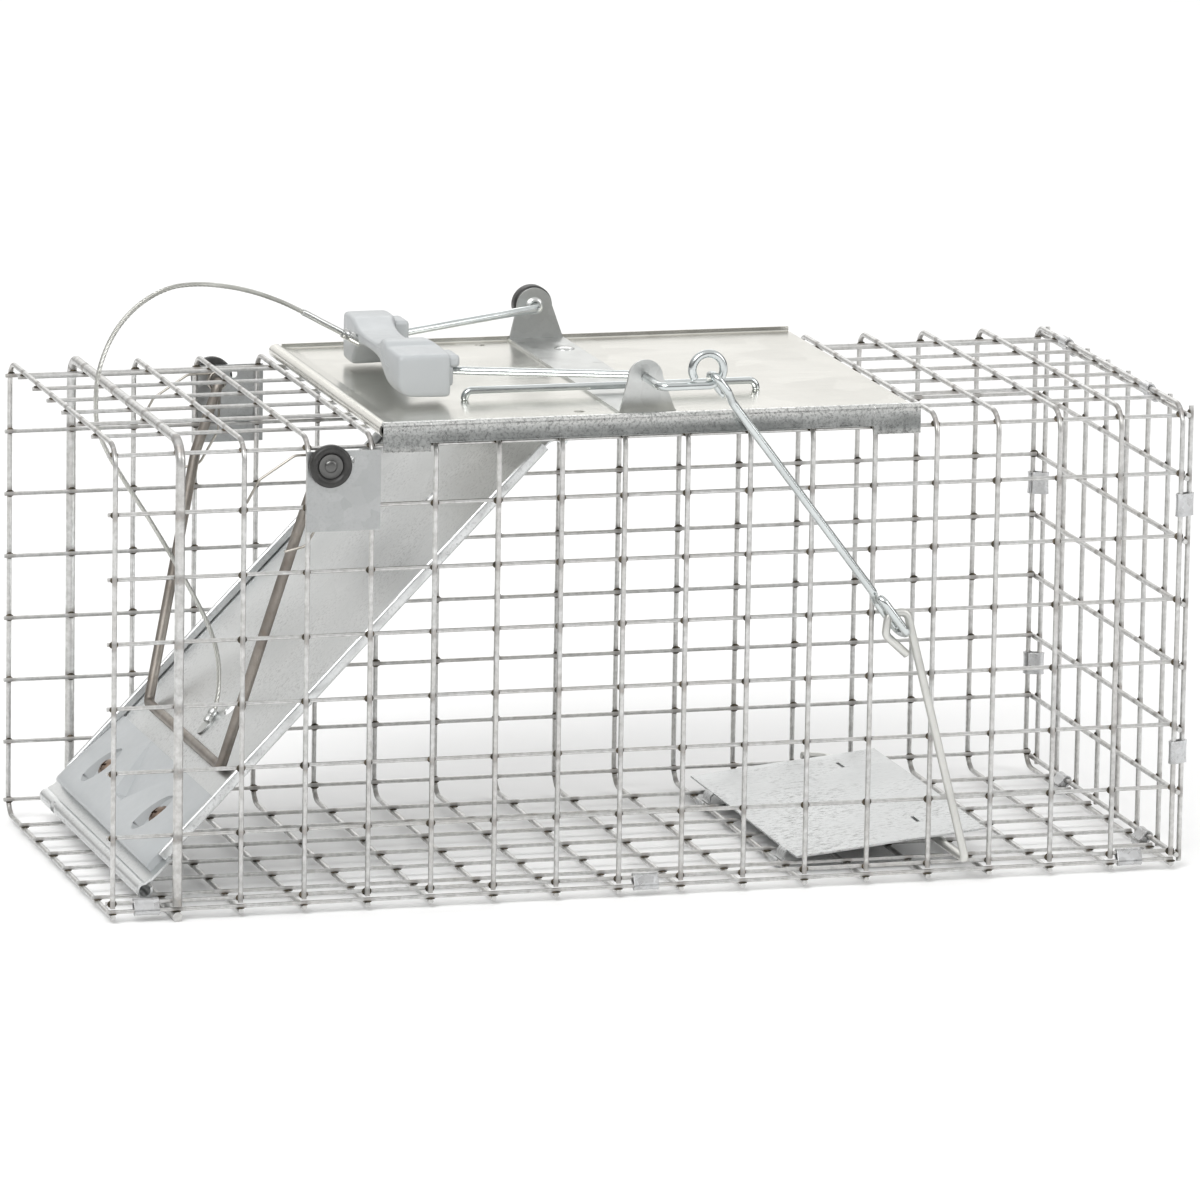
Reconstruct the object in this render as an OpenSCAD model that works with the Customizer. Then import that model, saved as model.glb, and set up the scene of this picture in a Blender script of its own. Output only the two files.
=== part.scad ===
// Live catch trap: a welded wire cage with one drop door, set and released by one lifting handle.
// Millimetres, +Z up. The door end is at -X, the closed end at +X, the trigger side at -Y.
// The origin is the middle of the footprint, on the ground.

/* [Mesh] */
// Distance between neighbouring wires of the mesh
pitch = 25.4; // [24:0.1:27]
// Number of transverse hoops, door frame hoop included
hoop_count = 18; // [18:1:18]
// Wire size of the hoops
hoop_d = 2.0; // [1.6:0.1:2.2]
// Wire size of the long wires
long_d = 1.6; // [1.4:0.1:1.8]
// Wire size of the heavy hoop at the door
frame_d = 3.8; // [3.4:0.1:3.8]
// Distance between the front and back long wires
cage_w = 178.8; // [178:0.2:180]
// Distance between the bottom and top long wires
cage_h = 181.2; // [180:0.2:182]

/* [Top plate] */
// Height of the sheet's upper face
plate_z = 191.0; // [190.8:0.1:191.4]
// Thickness of the sheet
plate_t = 0.9; // [0.7:0.1:1.0]
// Distance between the two punched holes
plate_hole_gap = 146; // [144:1:148]

/* [Handle] */
// Height of the handle's pivot above the ground
handle_z = 205; // [204:0.5:206]
// Wire size of the handle, trigger rod and trip rod
rod_d = 3.3; // [3.0:0.1:3.4]
// Clearance around a wire in its hole
fit_gap = 0.08; // [0.04:0.01:0.10]

/* [Door] */
// Angle of the closed door from level
door_slope = 46.0; // [45.5:0.1:46.5]
// Distance from the hinge to the rolled lower edge
door_len = 238; // [236:0.5:239]
// Width of the door tray
door_w = 160; // [158:1:160]
// Thickness of the door sheet
door_t = 0.9; // [0.7:0.1:1.0]

/* [Lock] */
// Wire size of the lock bar
bar_d = 4.2; // [3.8:0.1:4.2]

/* [Trip pan] */
// Length of the pan along the cage
pan_len = 79; // [77:1:80]
// Width of the pan across the cage
pan_w = 147; // [144:1:148]

/* [Hidden] */
$fn = 24;

weld_gap = 0.02;
half_len = (hoop_count - 1) / 2 * pitch;
row_y = cage_w / 2;
row_z = frame_d + long_d / 2 + weld_gap;
top_z = row_z + cage_h;
bend_r = 6.7;
wire_end = 2.4;
frame_index = 1;

// Rows of the long wires, as [y, z], on the straight stretches of each wall
front_rows = [for (i = [0:5]) [-row_y, row_z + 156 - i * pitch]];
back_rows = [for (i = [0:5]) [row_y, row_z + 155 - i * pitch]];
top_rows = [for (i = [0:5]) [66.3 - i * pitch, top_z]];
floor_rows = [for (i = [0:5]) [60.8 - i * pitch, row_z]];
// Rows in the rounded corners, and the two that meet along the seam
corner_rows = [
    corner_row(-1, 1, 40),
    corner_row(1, 1, 30),
    corner_row(1, -1, 22),
    [-row_y, row_z + 3.0],
    [-row_y - 1.8, row_z]
];
long_rows = concat(front_rows, back_rows, top_rows, floor_rows, corner_rows);

// Handle: pivot through both ears, legs that close in on the grip, and an arm with an eye outside
handle_x = -2;
ear_y = 80;
ear_t = 1.2;
arm_y = -101.6;
eye_r = 6.3;
eye_x = 16.8;
grip_x = -80;
grip_leg_y = 42;
grip_leg_z = 203;
bracket_top = plate_z + 1.0;

// Trigger linkage, in the XZ plane
trip_y = -98.6;
eye_c = [eye_x, arm_y, handle_z + eye_r];
link_low = [97.32, trip_y, 106.0];
link_top = eye_c + eye_r * unit([link_low[0] - eye_c[0], 0, link_low[2] - eye_c[2]]);
trip_x = 127;
trip_z = row_z + 3.0 + long_d / 2 + rod_d / 2 + 0.2;

// Trip pan: hinge on the bottom run of one hoop
pan_hoop = 11;
pan_x = hoop_x(pan_hoop);
pan_z = row_z - (long_d + hoop_d) / 2 - weld_gap;
pan_t = 0.8;
pan_tilt = 5.8;
pan_y = 3;

// Door, in its own frame: u from the hinge to the lower edge, w out of its upper face
hinge_x = -36.5;
hinge_z = 182.4;
hinge_d = 3.2;
door_lip = 4.2;

// Lock bar pivots and its cross bar on the door
lock_x = -132;
lock_z = 177.6;
lock_u = 183;
lock_leg_y = 82.6;
plate_side_y = 92.3;
side_t = 1.0;

// Route of the lift cable, from the grip's sleeve to the stop on the door
cable_d = 1.9;
cable_route = [
    [-98, 19, 208.3], [-106, 18.6, 212.6], [-114, 18, 217], [-124, 17, 222], [-136, 15, 226.6],
    [-148, 13, 229.6], [-160, 11, 231], [-171, 9.5, 230], [-182, 8, 225], [-191, 6.5, 217],
    [-197, 5, 207.5], [-200.5, 4, 197], [-201.5, 3, 187], [-201, 2, 177], [-197, 1.5, 167],
    [-190, 1, 155], [-181, 0.5, 141], [-172, 0, 126], [-163, 0, 110], [-156, 0, 96],
    [-152.6, -1, 84], [-152.4, -2.5, 72], [-154.4, -4.5, 63.5], [-157.6, -6, 59.2]
];

function hoop_x(i) = i * pitch - half_len;
function unit(v) = v / norm(v);
// A long wire inside a hoop's bend: side and level are -1 or 1, ang is measured from the wall
function corner_row(side, level, ang) = [
    side * (row_y - bend_r + bend_r * cos(ang)),
    (level > 0 ? top_z - bend_r + bend_r * sin(ang) : row_z + bend_r - bend_r * sin(ang))
];
function door_at(u, w) = [
    hinge_x - u * cos(door_slope) - w * sin(door_slope),
    hinge_z - u * sin(door_slope) + w * cos(door_slope)
];
function turn_angle(a, b) = acos(max(-1, min(1, a * b)));

// Turns what is drawn along Z to point along v
module aim(v) {
    rotate([0, acos(v[2] / norm(v)), atan2(v[1], v[0])]) children();
}

// Straight round bar between two points
module bar(a, b, d) {
    translate(a) aim(b - a) cylinder(h = norm(b - a), d = d);
}

// Points of a wire's centre line, each corner replaced by steps along an arc of radius r
function bend_steps(a) = max(1, ceil(a / 18));
function bend(p, d0, d1, r) = let (
    a = turn_angle(d0, d1),
    n = bend_steps(a),
    inward = unit(d1 - (d1 * d0) * d0),
    c = p - d0 * r * tan(a / 2) + inward * r
) [for (k = [0:n]) c + r * (sin(a * k / n) * d0 - cos(a * k / n) * inward)];
function bent_path(pts, r) = let (n = len(pts)) [for (i = [0:n - 1]) each
    (i == 0 || i == n - 1) ? [pts[i]]
        : bend(pts[i], unit(pts[i] - pts[i - 1]), unit(pts[i + 1] - pts[i]), r)
];

// Round wire along a path: straight runs with a ball at each joint
module rod_path(path, d) {
    n = len(path);
    trim = 0.0875 * d;
    for (i = [0:n - 2]) {
        v = unit(path[i + 1] - path[i]);
        bar(path[i] + v * (i == 0 ? 0 : trim), path[i + 1] - v * (i == n - 2 ? 0 : trim), d);
        if (i > 0) translate(path[i]) aim(v + unit(path[i] - path[i - 1])) sphere(d = 1.018 * d);
    }
}

module wire(pts, d, r) {
    rod_path(bent_path(pts, r), d);
}

// Outline of a slot-shaped loop from the origin to [l, 0]
function capsule(l, r) = concat(
    [for (k = [0:6]) [l + r * cos(k * 30 - 90), r * sin(k * 30 - 90)]],
    [for (k = [0:6]) [r * cos(k * 30 + 90), r * sin(k * 30 + 90)]]
);

// Sheet band closed around two wires that run along Z, at p and q in plan
module band(p, q, r, t, w) {
    v = q - p;
    translate([p[0], p[1], -w / 2])
        rotate(atan2(v[1], v[0]))
            linear_extrude(w)
                difference() {
                    polygon(capsule(norm(v), r + t));
                    polygon(capsule(norm(v), r));
                }
}

// Quarter bend of a hoop, centred at [y, z], its middle at angle mid in the YZ plane
module hoop_bend(x, at, r, d, start) {
    translate([x, at[0], at[1]])
        rotate([start, 0, 0])
            rotate([90, 0, 90])
                rotate_extrude(angle = 90)
                    translate([r, 0])
                        circle(d = d);
}

// One hoop of the cage at x, its inner side against the long wires
module hoop(x, d) {
    out = (long_d + d) / 2 + weld_gap;
    y = row_y + out;
    low = row_z - out;
    high = top_z + out;
    r = bend_r + out;
    bar([x, -y, row_z + 1.4], [x, -y, high - r], d);
    hoop_bend(x, [r - y, high - r], r, d, 90);
    bar([x, r - y, high], [x, y - r, high], d);
    hoop_bend(x, [y - r, high - r], r, d, 0);
    bar([x, y, high - r], [x, y, low + r], d);
    hoop_bend(x, [y - r, low + r], r, d, -90);
    bar([x, y - r, low], [x, -y - 1.2, low], d);
}

// --- Cage ---

module long_wires() {
    color("silver")
        for (row = long_rows)
            bar([-half_len - wire_end, row[0], row[1]], [half_len + 0.9, row[0], row[1]], long_d);
}

module hoop_wires() {
    color("silver")
        for (i = [0:hoop_count - 1])
            if (i != frame_index) hoop(hoop_x(i), hoop_d);
}

module door_frame_hoop() {
    color("silver") hoop(hoop_x(frame_index), frame_d);
}

rear_x = half_len + hoop_d / 2 + 0.2;
rear_in_x = rear_x + hoop_d / 2;
rear_out_x = rear_in_x + hoop_d + weld_gap;
rear_rows = [for (i = [0:7]) row_z + 1.6 + i * pitch];
rear_cols = [for (i = [0:7]) -3.5 * pitch + i * pitch];

module rear_uprights() {
    color("silver")
        for (y = rear_cols)
            bar([rear_out_x, y, row_z - 1.4], [rear_out_x, y, rear_rows[7] + 3.4], hoop_d);
}

module rear_crossbars() {
    color("silver")
        for (z = rear_rows)
            bar([rear_in_x, rear_cols[0] - 3, z], [rear_in_x, rear_cols[7] + 3, z], hoop_d);
}

module seam_clips() {
    color("gainsboro")
        for (x = [-202.4, -1.5, 198.5])
            translate([x, -row_y - 0.9, row_z + 1.3])
                rotate([59, 0, 0])
                    difference() {
                        translate([-5, -3.6, -2.0]) cube([10, 7.2, 4.0]);
                        translate([-6, -2.7, -1.1]) cube([12, 5.4, 2.2]);
                    }
}

module rear_clips() {
    out = (long_d + hoop_d) / 2 + weld_gap;
    side = row_y + out;
    r = hoop_d / 2 + 0.06;
    color("gainsboro") {
        // On the two side edges, around the hoop and the outermost upright
        for (s = [-1, 1])
            for (z = s < 0 ? [48, 148] : [46, 122])
                translate([0, 0, z])
                    band([half_len, s * side], [rear_out_x, s * rear_cols[7]], r, 0.8, 9);
        // On the top and bottom edges, around the hoop and the outermost crossbar
        for (y = [-48, 53.6])
            translate([0, y, 0])
                rotate([90, 0, 0])
                    band([half_len, top_z + out], [rear_in_x, rear_rows[7]], r, 0.8, 9);
        for (y = [-53.5, 48.1])
            translate([0, y, 0])
                rotate([90, 0, 0])
                    band([half_len, row_z - out], [rear_in_x, rear_rows[0]], r, 0.8, 9);
    }
}

// --- Top plate and handle bracket ---

plate_l = -111;
plate_r = 106;
plate_f = -95.4;
plate_b = 82;
roll_d = 6.2;

module top_plate() {
    bead = 3.2;
    low = plate_z - plate_t;
    color("lightgray")
        difference() {
            union() {
                translate([plate_l, plate_f, low])
                    cube([plate_r - plate_l, plate_b - plate_f, plate_t]);
                // Rim standing along the back edge
                translate([plate_l, plate_b - plate_t, low])
                    cube([plate_r - plate_l, plate_t, 2.8]);
                // Bead and flange along the front edge
                translate([plate_l, plate_f + bead / 2, plate_z + 0.9])
                    rotate([0, 90, 0])
                        cylinder(h = plate_r - plate_l, d = bead);
                translate([plate_l, plate_f, plate_z - 6.0])
                    cube([plate_r - plate_l, plate_t, 6.6]);
                // Tabs folded further down at both ends of the flange
                for (x = [plate_l, plate_r - 19])
                    translate([x, plate_f, plate_z - 9.4])
                        cube([19, plate_t, 6]);
                // Rolled left edge
                translate([plate_l + 2.1, plate_f + 4, plate_z - 1.1])
                    rotate([-90, 0, 0])
                        difference() {
                            cylinder(h = plate_b - plate_f - 4, d = roll_d);
                            translate([0, 0, -1])
                                cylinder(h = plate_b - plate_f, d = roll_d - 2 * plate_t);
                        }
            }
            for (y = [-1, 1])
                translate([-26.5, y * plate_hole_gap / 2, low - 1])
                    cylinder(h = plate_t + 2, d = 4.2);
        }
}

bracket_x = -1;
bracket_w = 23;

module handle_bracket() {
    color("darkgray")
        difference() {
            union() {
                translate([bracket_x - bracket_w / 2, -ear_y - ear_t / 2, plate_z])
                    cube([bracket_w, 2 * ear_y + ear_t, 1.0]);
                ear(ear_y, 7.4);
                ear(-ear_y, 7.0);
            }
            translate([handle_x, 0, handle_z])
                rotate([90, 0, 0])
                    cylinder(h = 4 * ear_y, d = rod_d + 2 * fit_gap, center = true);
            for (y = [-54, 54])
                translate([3.5, y, plate_z - 1])
                    cylinder(h = 3, d = 4.0 + 2 * fit_gap);
        }
}

// Upright ear: tapered sheet with a round top about the pivot
module ear(y, top_r) {
    w = bracket_w;
    rise = handle_z - plate_z;
    reach = sqrt(pow(w / 2, 2) + pow(rise, 2));
    side_r = 0.95 * top_r;
    lean = acos(side_r / reach) - atan2(rise, w / 2);
    translate([handle_x, y + ear_t / 2, handle_z])
        rotate([90, 0, 0])
            linear_extrude(ear_t)
                union() {
                    circle(r = top_r);
                    polygon([
                        [bracket_x - handle_x - w / 2, -rise],
                        [bracket_x - handle_x + w / 2, -rise],
                        [side_r * cos(lean), side_r * sin(lean)],
                        [-side_r * cos(lean), side_r * sin(lean)]
                    ]);
                }
}

module bracket_rivets() {
    color("silver")
        for (y = [-54, 54])
            translate([3.5, y, plate_z]) {
                cylinder(h = 1.0, d = 4.0);
                translate([0, 0, 1.0]) cylinder(h = 0.9, d1 = 8.4, d2 = 5.4);
            }
}

module plate_rod() {
    z = plate_z + 3.7;
    color("silver")
        wire([[-64, -41, plate_z + 0.05], [-64, -41, z], [55, -41, z], [55, -41, plate_z + 0.05]], 3.0, 1.9);
}

// --- Handle ---

// Direction in which the lift cable leaves the grip
cable_out = unit(cable_route[1] - cable_route[0]);

module handle_wire() {
    body = bent_path([
        [handle_x, ear_y + 4.4, handle_z], [handle_x, ear_y - 5, handle_z],
        [grip_x + 13, grip_leg_y, grip_leg_z], [grip_x, grip_leg_y - 3, grip_leg_z],
        [grip_x, 3 - grip_leg_y, grip_leg_z],
        [grip_x + 13, -grip_leg_y, grip_leg_z], [handle_x, 5 - ear_y, handle_z],
        [handle_x, arm_y, handle_z], [eye_x, arm_y, handle_z]
    ], 3.4);
    // Eye at the arm's end, almost closed on itself
    eye = [for (k = [1:17]) [
        eye_x + eye_r * sin(k * 18), arm_y, handle_z + eye_r - eye_r * cos(k * 18)
    ]];
    color("silver") rod_path(concat(body, eye), rod_d);
}

module handle_grip() {
    color("lightsteelblue")
        difference() {
            intersection() {
                // Outline from above: thick ends, slimmer middle
                translate([0, 0, 190])
                    linear_extrude(30)
                        polygon([
                            [-91, -48], [-72, -48], [-69, -45], [-69, -24], [-73, -19], [-73, 27],
                            [-68, 32], [-67, 45], [-70, 48.5], [-91, 48.5], [-94, 45], [-94, -45]
                        ]);
                // Section: flat bottom, sloped and chamfered sides
                rotate([90, 0, 0])
                    linear_extrude(110, center = true)
                        polygon([
                            [-89, 193], [-70, 193], [-66, 197], [-66, 206.5], [-70.5, 211],
                            [-88, 211], [-94, 206], [-94, 199]
                        ]);
            }
            // Finger hollow under the outer side
            translate([-101, 2, 186])
                rotate([90, 0, 0])
                    cylinder(h = 56, r = 17, center = true);
            // Wire channel
            translate([grip_x, 0, grip_leg_z])
                rotate([90, 0, 0])
                    cylinder(h = 2 * grip_leg_y - 12, d = rod_d + 0.4, center = true);
            grip_leg_slot(1);
            grip_leg_slot(-1);
            // Socket for the cable's sleeve
            bar(cable_route[0] - cable_out * 9.4, cable_route[0] + cable_out * 6, 4.2);
        }
}

// Slot that the handle's leg lies in, open to the inner side of the grip
module grip_leg_slot(side) {
    translate([grip_x - 3.2, side * (grip_leg_y - 1.5) - 6, grip_leg_z - rod_d / 2 - 0.2])
        cube([22, 12, rod_d + 0.4]);
}

module handle_cap() {
    r = 8.0;
    color("black")
        translate([handle_x, ear_y + ear_t / 2 + 0.3, handle_z])
            rotate([-90, 0, 0])
                difference() {
                    union() {
                        cylinder(h = 4.6, r = r);
                        translate([0, 0, 4.6]) cylinder(h = 1.4, r1 = r, r2 = r - 1.6);
                    }
                    translate([0, 0, -0.01]) cylinder(h = 3.6, d = rod_d);
                    translate([0, 0, 5.0]) cylinder(h = 2, r = 4.2);
                }
}

// --- Trigger linkage ---

link_l = norm(link_low - link_top);
link_dir = unit(link_low - link_top);
link_turn = 81;
link_flat = unit(cross([0, 1, 0], link_dir));
link_side = link_flat * cos(link_turn) + cross(link_dir, link_flat) * sin(link_turn);

// Point of the trigger rod, s along it from the top eye and q across it
function link_at(s, q) = link_top + link_dir * s + link_side * q;

// Hooks round the handle's eye at the top and has a long eye round the trip rod at the bottom
module trigger_rod() {
    a = 3.9;
    e = 3.4;
    low_a = 4.4;
    low_e = 3.94;
    n = 11.93;
    color("silver")
        wire([
            link_at(7.6, 2.4), link_at(5.4, a), link_at(-e, a), link_at(-e, -a), link_at(4.6, -a),
            link_at(10.5, 0), link_at(link_l - n - 5.5, 0), link_at(link_l - n, low_a),
            link_at(link_l + low_e, low_a), link_at(link_l + low_e, -low_a),
            link_at(link_l - n - 0.8, -low_a), link_at(link_l - n - 3, -2.4)
        ], rod_d, 3.2);
}

module trip_rod() {
    color("whitesmoke")
        wire([
            [101.6, trip_y, 94.0], [92.4, trip_y, 102.4], [93.4, trip_y, 110.3],
            [101.0, trip_y, 111.7], [103.5, trip_y, 102], [trip_x + 0.6, trip_y, trip_z],
            [trip_x + 0.6, 83.4, trip_z + 1.2], [trip_x - 11, 83.4, trip_z + 2.6]
        ], rod_d, 3.2);
}

module trip_pan() {
    lift = row_z + long_d / 2 + 1.6 - pan_z;
    knuckle_r = hoop_d / 2 + fit_gap;
    color("gainsboro")
        translate([pan_x, 0, pan_z])
            rotate([0, -pan_tilt, 0])
                difference() {
                    union() {
                        translate([3.6, pan_y - pan_w / 2, lift])
                            cube([pan_len, pan_w, pan_t]);
                        for (y = pan_knuckles) {
                            translate([0, y - 4.5, 0])
                                rotate([-90, 0, 0])
                                    cylinder(h = 9, r = knuckle_r + pan_t);
                            translate([0.2, y - 4.5, 0])
                                rotate([0, pan_knee, 0])
                                    translate([0, 0, knuckle_r])
                                        cube([pan_t, 9, lift + 1.2]);
                        }
                        // Tabs that hold the trip rod's cross run under the pan
                        for (y = pan_tabs)
                            translate([trip_x - pan_x - 3.4, y - 4.5, lift - 1.0])
                                cube([pan_t, 9, 1.0]);
                    }
                    for (y = pan_knuckles)
                        translate([0, y - 6, 0])
                            rotate([-90, 0, 0])
                                cylinder(h = 12, r = knuckle_r);
                    for (y = pan_tabs)
                        translate([trip_x - pan_x - 2.0, y - 4.5, lift - 1])
                            cube([1.2, 9, 3]);
                }
}

pan_knuckles = [-53.5, 48.1];
pan_tabs = [-42, 58];
pan_knee = 38;

// --- Door ---

// Puts a child drawn in the door's own frame in place: x is u, y stays, z is w
module on_door() {
    translate([hinge_x, 0, hinge_z])
        multmatrix([
            [-cos(door_slope), 0, -sin(door_slope), 0],
            [0, -1, 0, 0],
            [-sin(door_slope), 0, cos(door_slope), 0],
            [0, 0, 0, 1]
        ])
            children();
}

module door_panel() {
    roll_r = 3.2;
    color("gainsboro")
        on_door()
            difference() {
                union() {
                    translate([0, -door_w / 2, -door_t / 2]) cube([door_len - 2.6, door_w, door_t]);
                    // Lips turned up along both sides, each with a hemmed edge
                    for (s = [-1, 1]) {
                        translate([6, s * (door_w / 2) - (s > 0 ? door_t : 0), -door_t / 2])
                            cube([door_len - 16, door_t, door_lip]);
                        translate([6, s * (door_w / 2 - 1.1) - 1.1, door_lip - 1.8])
                            cube([door_len - 16, 2.2, 1.8]);
                    }
                    // Barrel around the hinge rod
                    rotate([90, 0, 0])
                        cylinder(h = door_w - 10, r = hinge_d / 2 + fit_gap + 0.6, center = true);
                    // Rolled lower edge
                    translate([door_len, 0, -0.6])
                        rotate([90, 0, 0])
                            cylinder(h = door_w, r = roll_r, center = true);
                }
                rotate([90, 0, 0])
                    cylinder(h = door_w + 10, r = hinge_d / 2 + fit_gap, center = true);
                translate([door_len, 0, -0.6])
                    rotate([90, 0, 0])
                        cylinder(h = door_w + 10, r = roll_r - door_t, center = true);
                // Notches for the two hangers
                for (y = hanger_rows)
                    translate([-4, -y - 6, -4]) cube([10, 12, 8]);
                // Punched slots beside the cable and near the front lip
                translate([163, 13, -2]) cylinder(h = 4, d = 7);
                translate([49, 16, -2]) cylinder(h = 4, d = 5);
                translate([84.5, 67.5, -2]) cube([26, 5.5, 4]);
            }
}

module door_hinge_rod() {
    color("silver")
        translate([hinge_x, 0, hinge_z])
            rotate([90, 0, 0])
                cylinder(h = 2 * row_y - long_d - 3.6, d = hinge_d, center = true);
}

hanger_rows = [-48, 53.6];

// Bands that hang the hinge rod from the hoop above it
module door_hangers() {
    color("silver")
        for (y = hanger_rows)
            translate([0, y, 0])
                rotate([90, 0, 0])
                    band([hoop_x(7), top_z + (long_d + hoop_d) / 2 + weld_gap], [hinge_x, hinge_z], hinge_d / 2 + 0.12, 0.6, 9);
}

strike_u = 193.5;
strike_end = 231;
strike_w = 154.8;

// Wedge-shaped plastic block that the lock bar rides over
module striker() {
    color("lightsteelblue")
        on_door()
            difference() {
                translate([0, strike_w / 2, 0])
                    rotate([90, 0, 0])
                        linear_extrude(strike_w)
                            polygon([
                                [strike_u, door_t / 2 + 0.02], [strike_u, 1.6], [222, 6.6],
                                [strike_end - 1, 7.0], [strike_end, 5.6], [strike_end, door_t / 2 + 0.02]
                            ]);
                // Notch in the middle and a slotted pocket for each screw
                translate([0, 0, 1.6])
                    linear_extrude(10)
                        polygon([[strike_u - 1, -34], [strike_u - 1, 34], [216, 5], [216, -5]]);
                for (s = [-1, 1])
                    translate([213.5, s * 43, 2.0])
                        linear_extrude(10)
                            union() {
                                translate([-3.5, 0]) circle(r = 7);
                                translate([3.5, 0]) circle(r = 7);
                                translate([-3.5, -7]) square([7, 14]);
                            }
            }
}

module striker_screws() {
    color("sienna")
        on_door()
            for (s = [-1, 1])
                translate([213.5, s * 43, 2.05])
                    difference() {
                        union() {
                            cylinder(h = 1.2, d = 7.4);
                            translate([0, 0, 1.2]) cylinder(h = 1.0, d1 = 7.4, d2 = 4.6);
                        }
                        translate([-2.2, -0.5, 1.2]) cube([4.4, 1.0, 2]);
                        translate([-0.5, -2.2, 1.2]) cube([1.0, 4.4, 2]);
                    }
}

// --- Lock bar and its pivots ---

lock_w = bar_d / 2 + door_t / 2 + 0.25;
lock_foot = door_at(lock_u, lock_w);
// Half of the crossbar; the legs close in on it below their knees
lock_foot_y = 60;

module lock_bar() {
    knee = [-141.5, 150];
    pin_end = plate_side_y + side_t + 3.0;
    color("dimgray")
        wire([
            [lock_x, -pin_end, lock_z], [lock_x, -lock_leg_y, lock_z],
            [knee[0], -lock_leg_y, knee[1]], [lock_foot[0], -lock_foot_y, lock_foot[1]],
            [lock_foot[0], lock_foot_y, lock_foot[1]], [knee[0], lock_leg_y, knee[1]],
            [lock_x, lock_leg_y, lock_z], [lock_x, pin_end, lock_z]
        ], bar_d, 3.5);
}

// Plate outside the side wires that carries a pivot; side is -1 in front and 1 at the back
module side_plate(side) {
    x0 = -140.6;
    x1 = -111.4;
    low = 151.6;
    wire_z = side < 0 ? front_rows[0][1] : back_rows[0][1];
    color("lightgray")
        difference() {
            union() {
                translate([x0, side * plate_side_y - (side > 0 ? 0 : side_t), low])
                    cube([x1 - x0, side_t, 183.0 - low]);
                // Tabs that hang the plate on the side wire
                for (x = [-135.5, -123.5])
                    translate([x, side * (plate_side_y - 1.9) - 2.4, wire_z + long_d / 2 + 0.1])
                        cube([6, 4.8, side_t]);
            }
            translate([lock_x, 0, lock_z])
                rotate([90, 0, 0])
                    cylinder(h = 400, d = bar_d + 2 * fit_gap, center = true);
            translate([lock_x + 8.5, side * plate_side_y, lock_z + 1.5])
                rotate([90, 0, 0])
                    cylinder(h = 10, d = 3.2, center = true);
        }
}

module side_plate_front() {
    side_plate(-1);
}

module side_plate_back() {
    side_plate(1);
}

// Push-on cap with a dished washer face
module lock_cap(side) {
    y = plate_side_y + side_t + 0.25;
    color("black")
        translate([lock_x, side * y, lock_z])
            rotate([-90 * side, 0, 0])
                difference() {
                    union() {
                        cylinder(h = 2.6, r = 8.4);
                        translate([0, 0, 2.6]) cylinder(h = 1.2, r1 = 8.4, r2 = 7.2);
                    }
                    translate([0, 0, -0.01]) cylinder(h = 2.72, d = bar_d);
                    translate([0, 0, 3.2]) cylinder(h = 2, r = 4.4);
                }
}

module lock_cap_front() {
    lock_cap(-1);
}

module lock_cap_back() {
    lock_cap(1);
}

// Torsion springs around the lock bar's pivots, inside the cage
coil_r = 3.6;
coil_d = 1.1;
coil_y = 86.7;

// Close-wound coil of three turns, turned as one ring with a groove between turns
module coil_ring() {
    outer = coil_r + 0.6;
    rotate_extrude()
        polygon([
            [coil_r - 0.6, -1.5], [coil_r - 0.6, 1.5], [outer - 0.2, 1.5], [outer, 1.2],
            [outer, 0.7], [outer - 0.3, 0.5], [outer, 0.3], [outer, -0.3],
            [outer - 0.3, -0.5], [outer, -0.7], [outer, -1.2], [outer - 0.2, -1.5]
        ]);
}

module spring_coils() {
    color("gray")
        for (s = [-1, 1]) {
            translate([lock_x, s * coil_y, lock_z])
                rotate([90, 0, 0])
                    coil_ring();
            // Fixed leg that hooks over the side wire
            wire([
                [lock_x - 1.8, s * coil_y, lock_z + 3.1], [lock_x - 12, s * coil_y, lock_z + 3],
                [lock_x - 26, s * coil_y, lock_z - 6], [lock_x - 31, s * coil_y, lock_z - 15]
            ], coil_d, 2.0);
        }
}

module spring_arms() {
    y = lock_leg_y + bar_d / 2 + coil_d / 2 + 0.3;
    color("gray")
        for (s = [-1, 1])
            wire([
                [lock_x + 1, s * y, lock_z - 5.2], [lock_x + 0.5, s * y, lock_z - 20],
                [lock_x - 7.0, s * y, lock_z - 33], [lock_x - 15.5, s * y, lock_z - 35]
            ], coil_d, 2.0);
}

// --- Lift cable ---

cable_sides = 8;
function route_dir(i) = unit(
    cable_route[min(i + 1, len(cable_route) - 1)] - cable_route[max(i - 1, 0)]
);
// Smooth point between two route points: t runs from 0 at point i to 1 at point i + 1
function spline(i, t) = let (
    n = len(cable_route) - 1,
    p0 = cable_route[max(i - 1, 0)],
    p1 = cable_route[i],
    p2 = cable_route[min(i + 1, n)],
    p3 = cable_route[min(i + 2, n)]
) 0.5 * (2 * p1 + (p2 - p0) * t + (2 * p0 - 5 * p1 + 4 * p2 - p3) * t * t
    + (3 * p1 - p0 - 3 * p2 + p3) * t * t * t);
cable_pts = concat(
    [for (i = [0:len(cable_route) - 2]) for (t = [0, 1 / 3, 2 / 3]) spline(i, t)],
    [cable_route[len(cable_route) - 1]]
);

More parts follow.
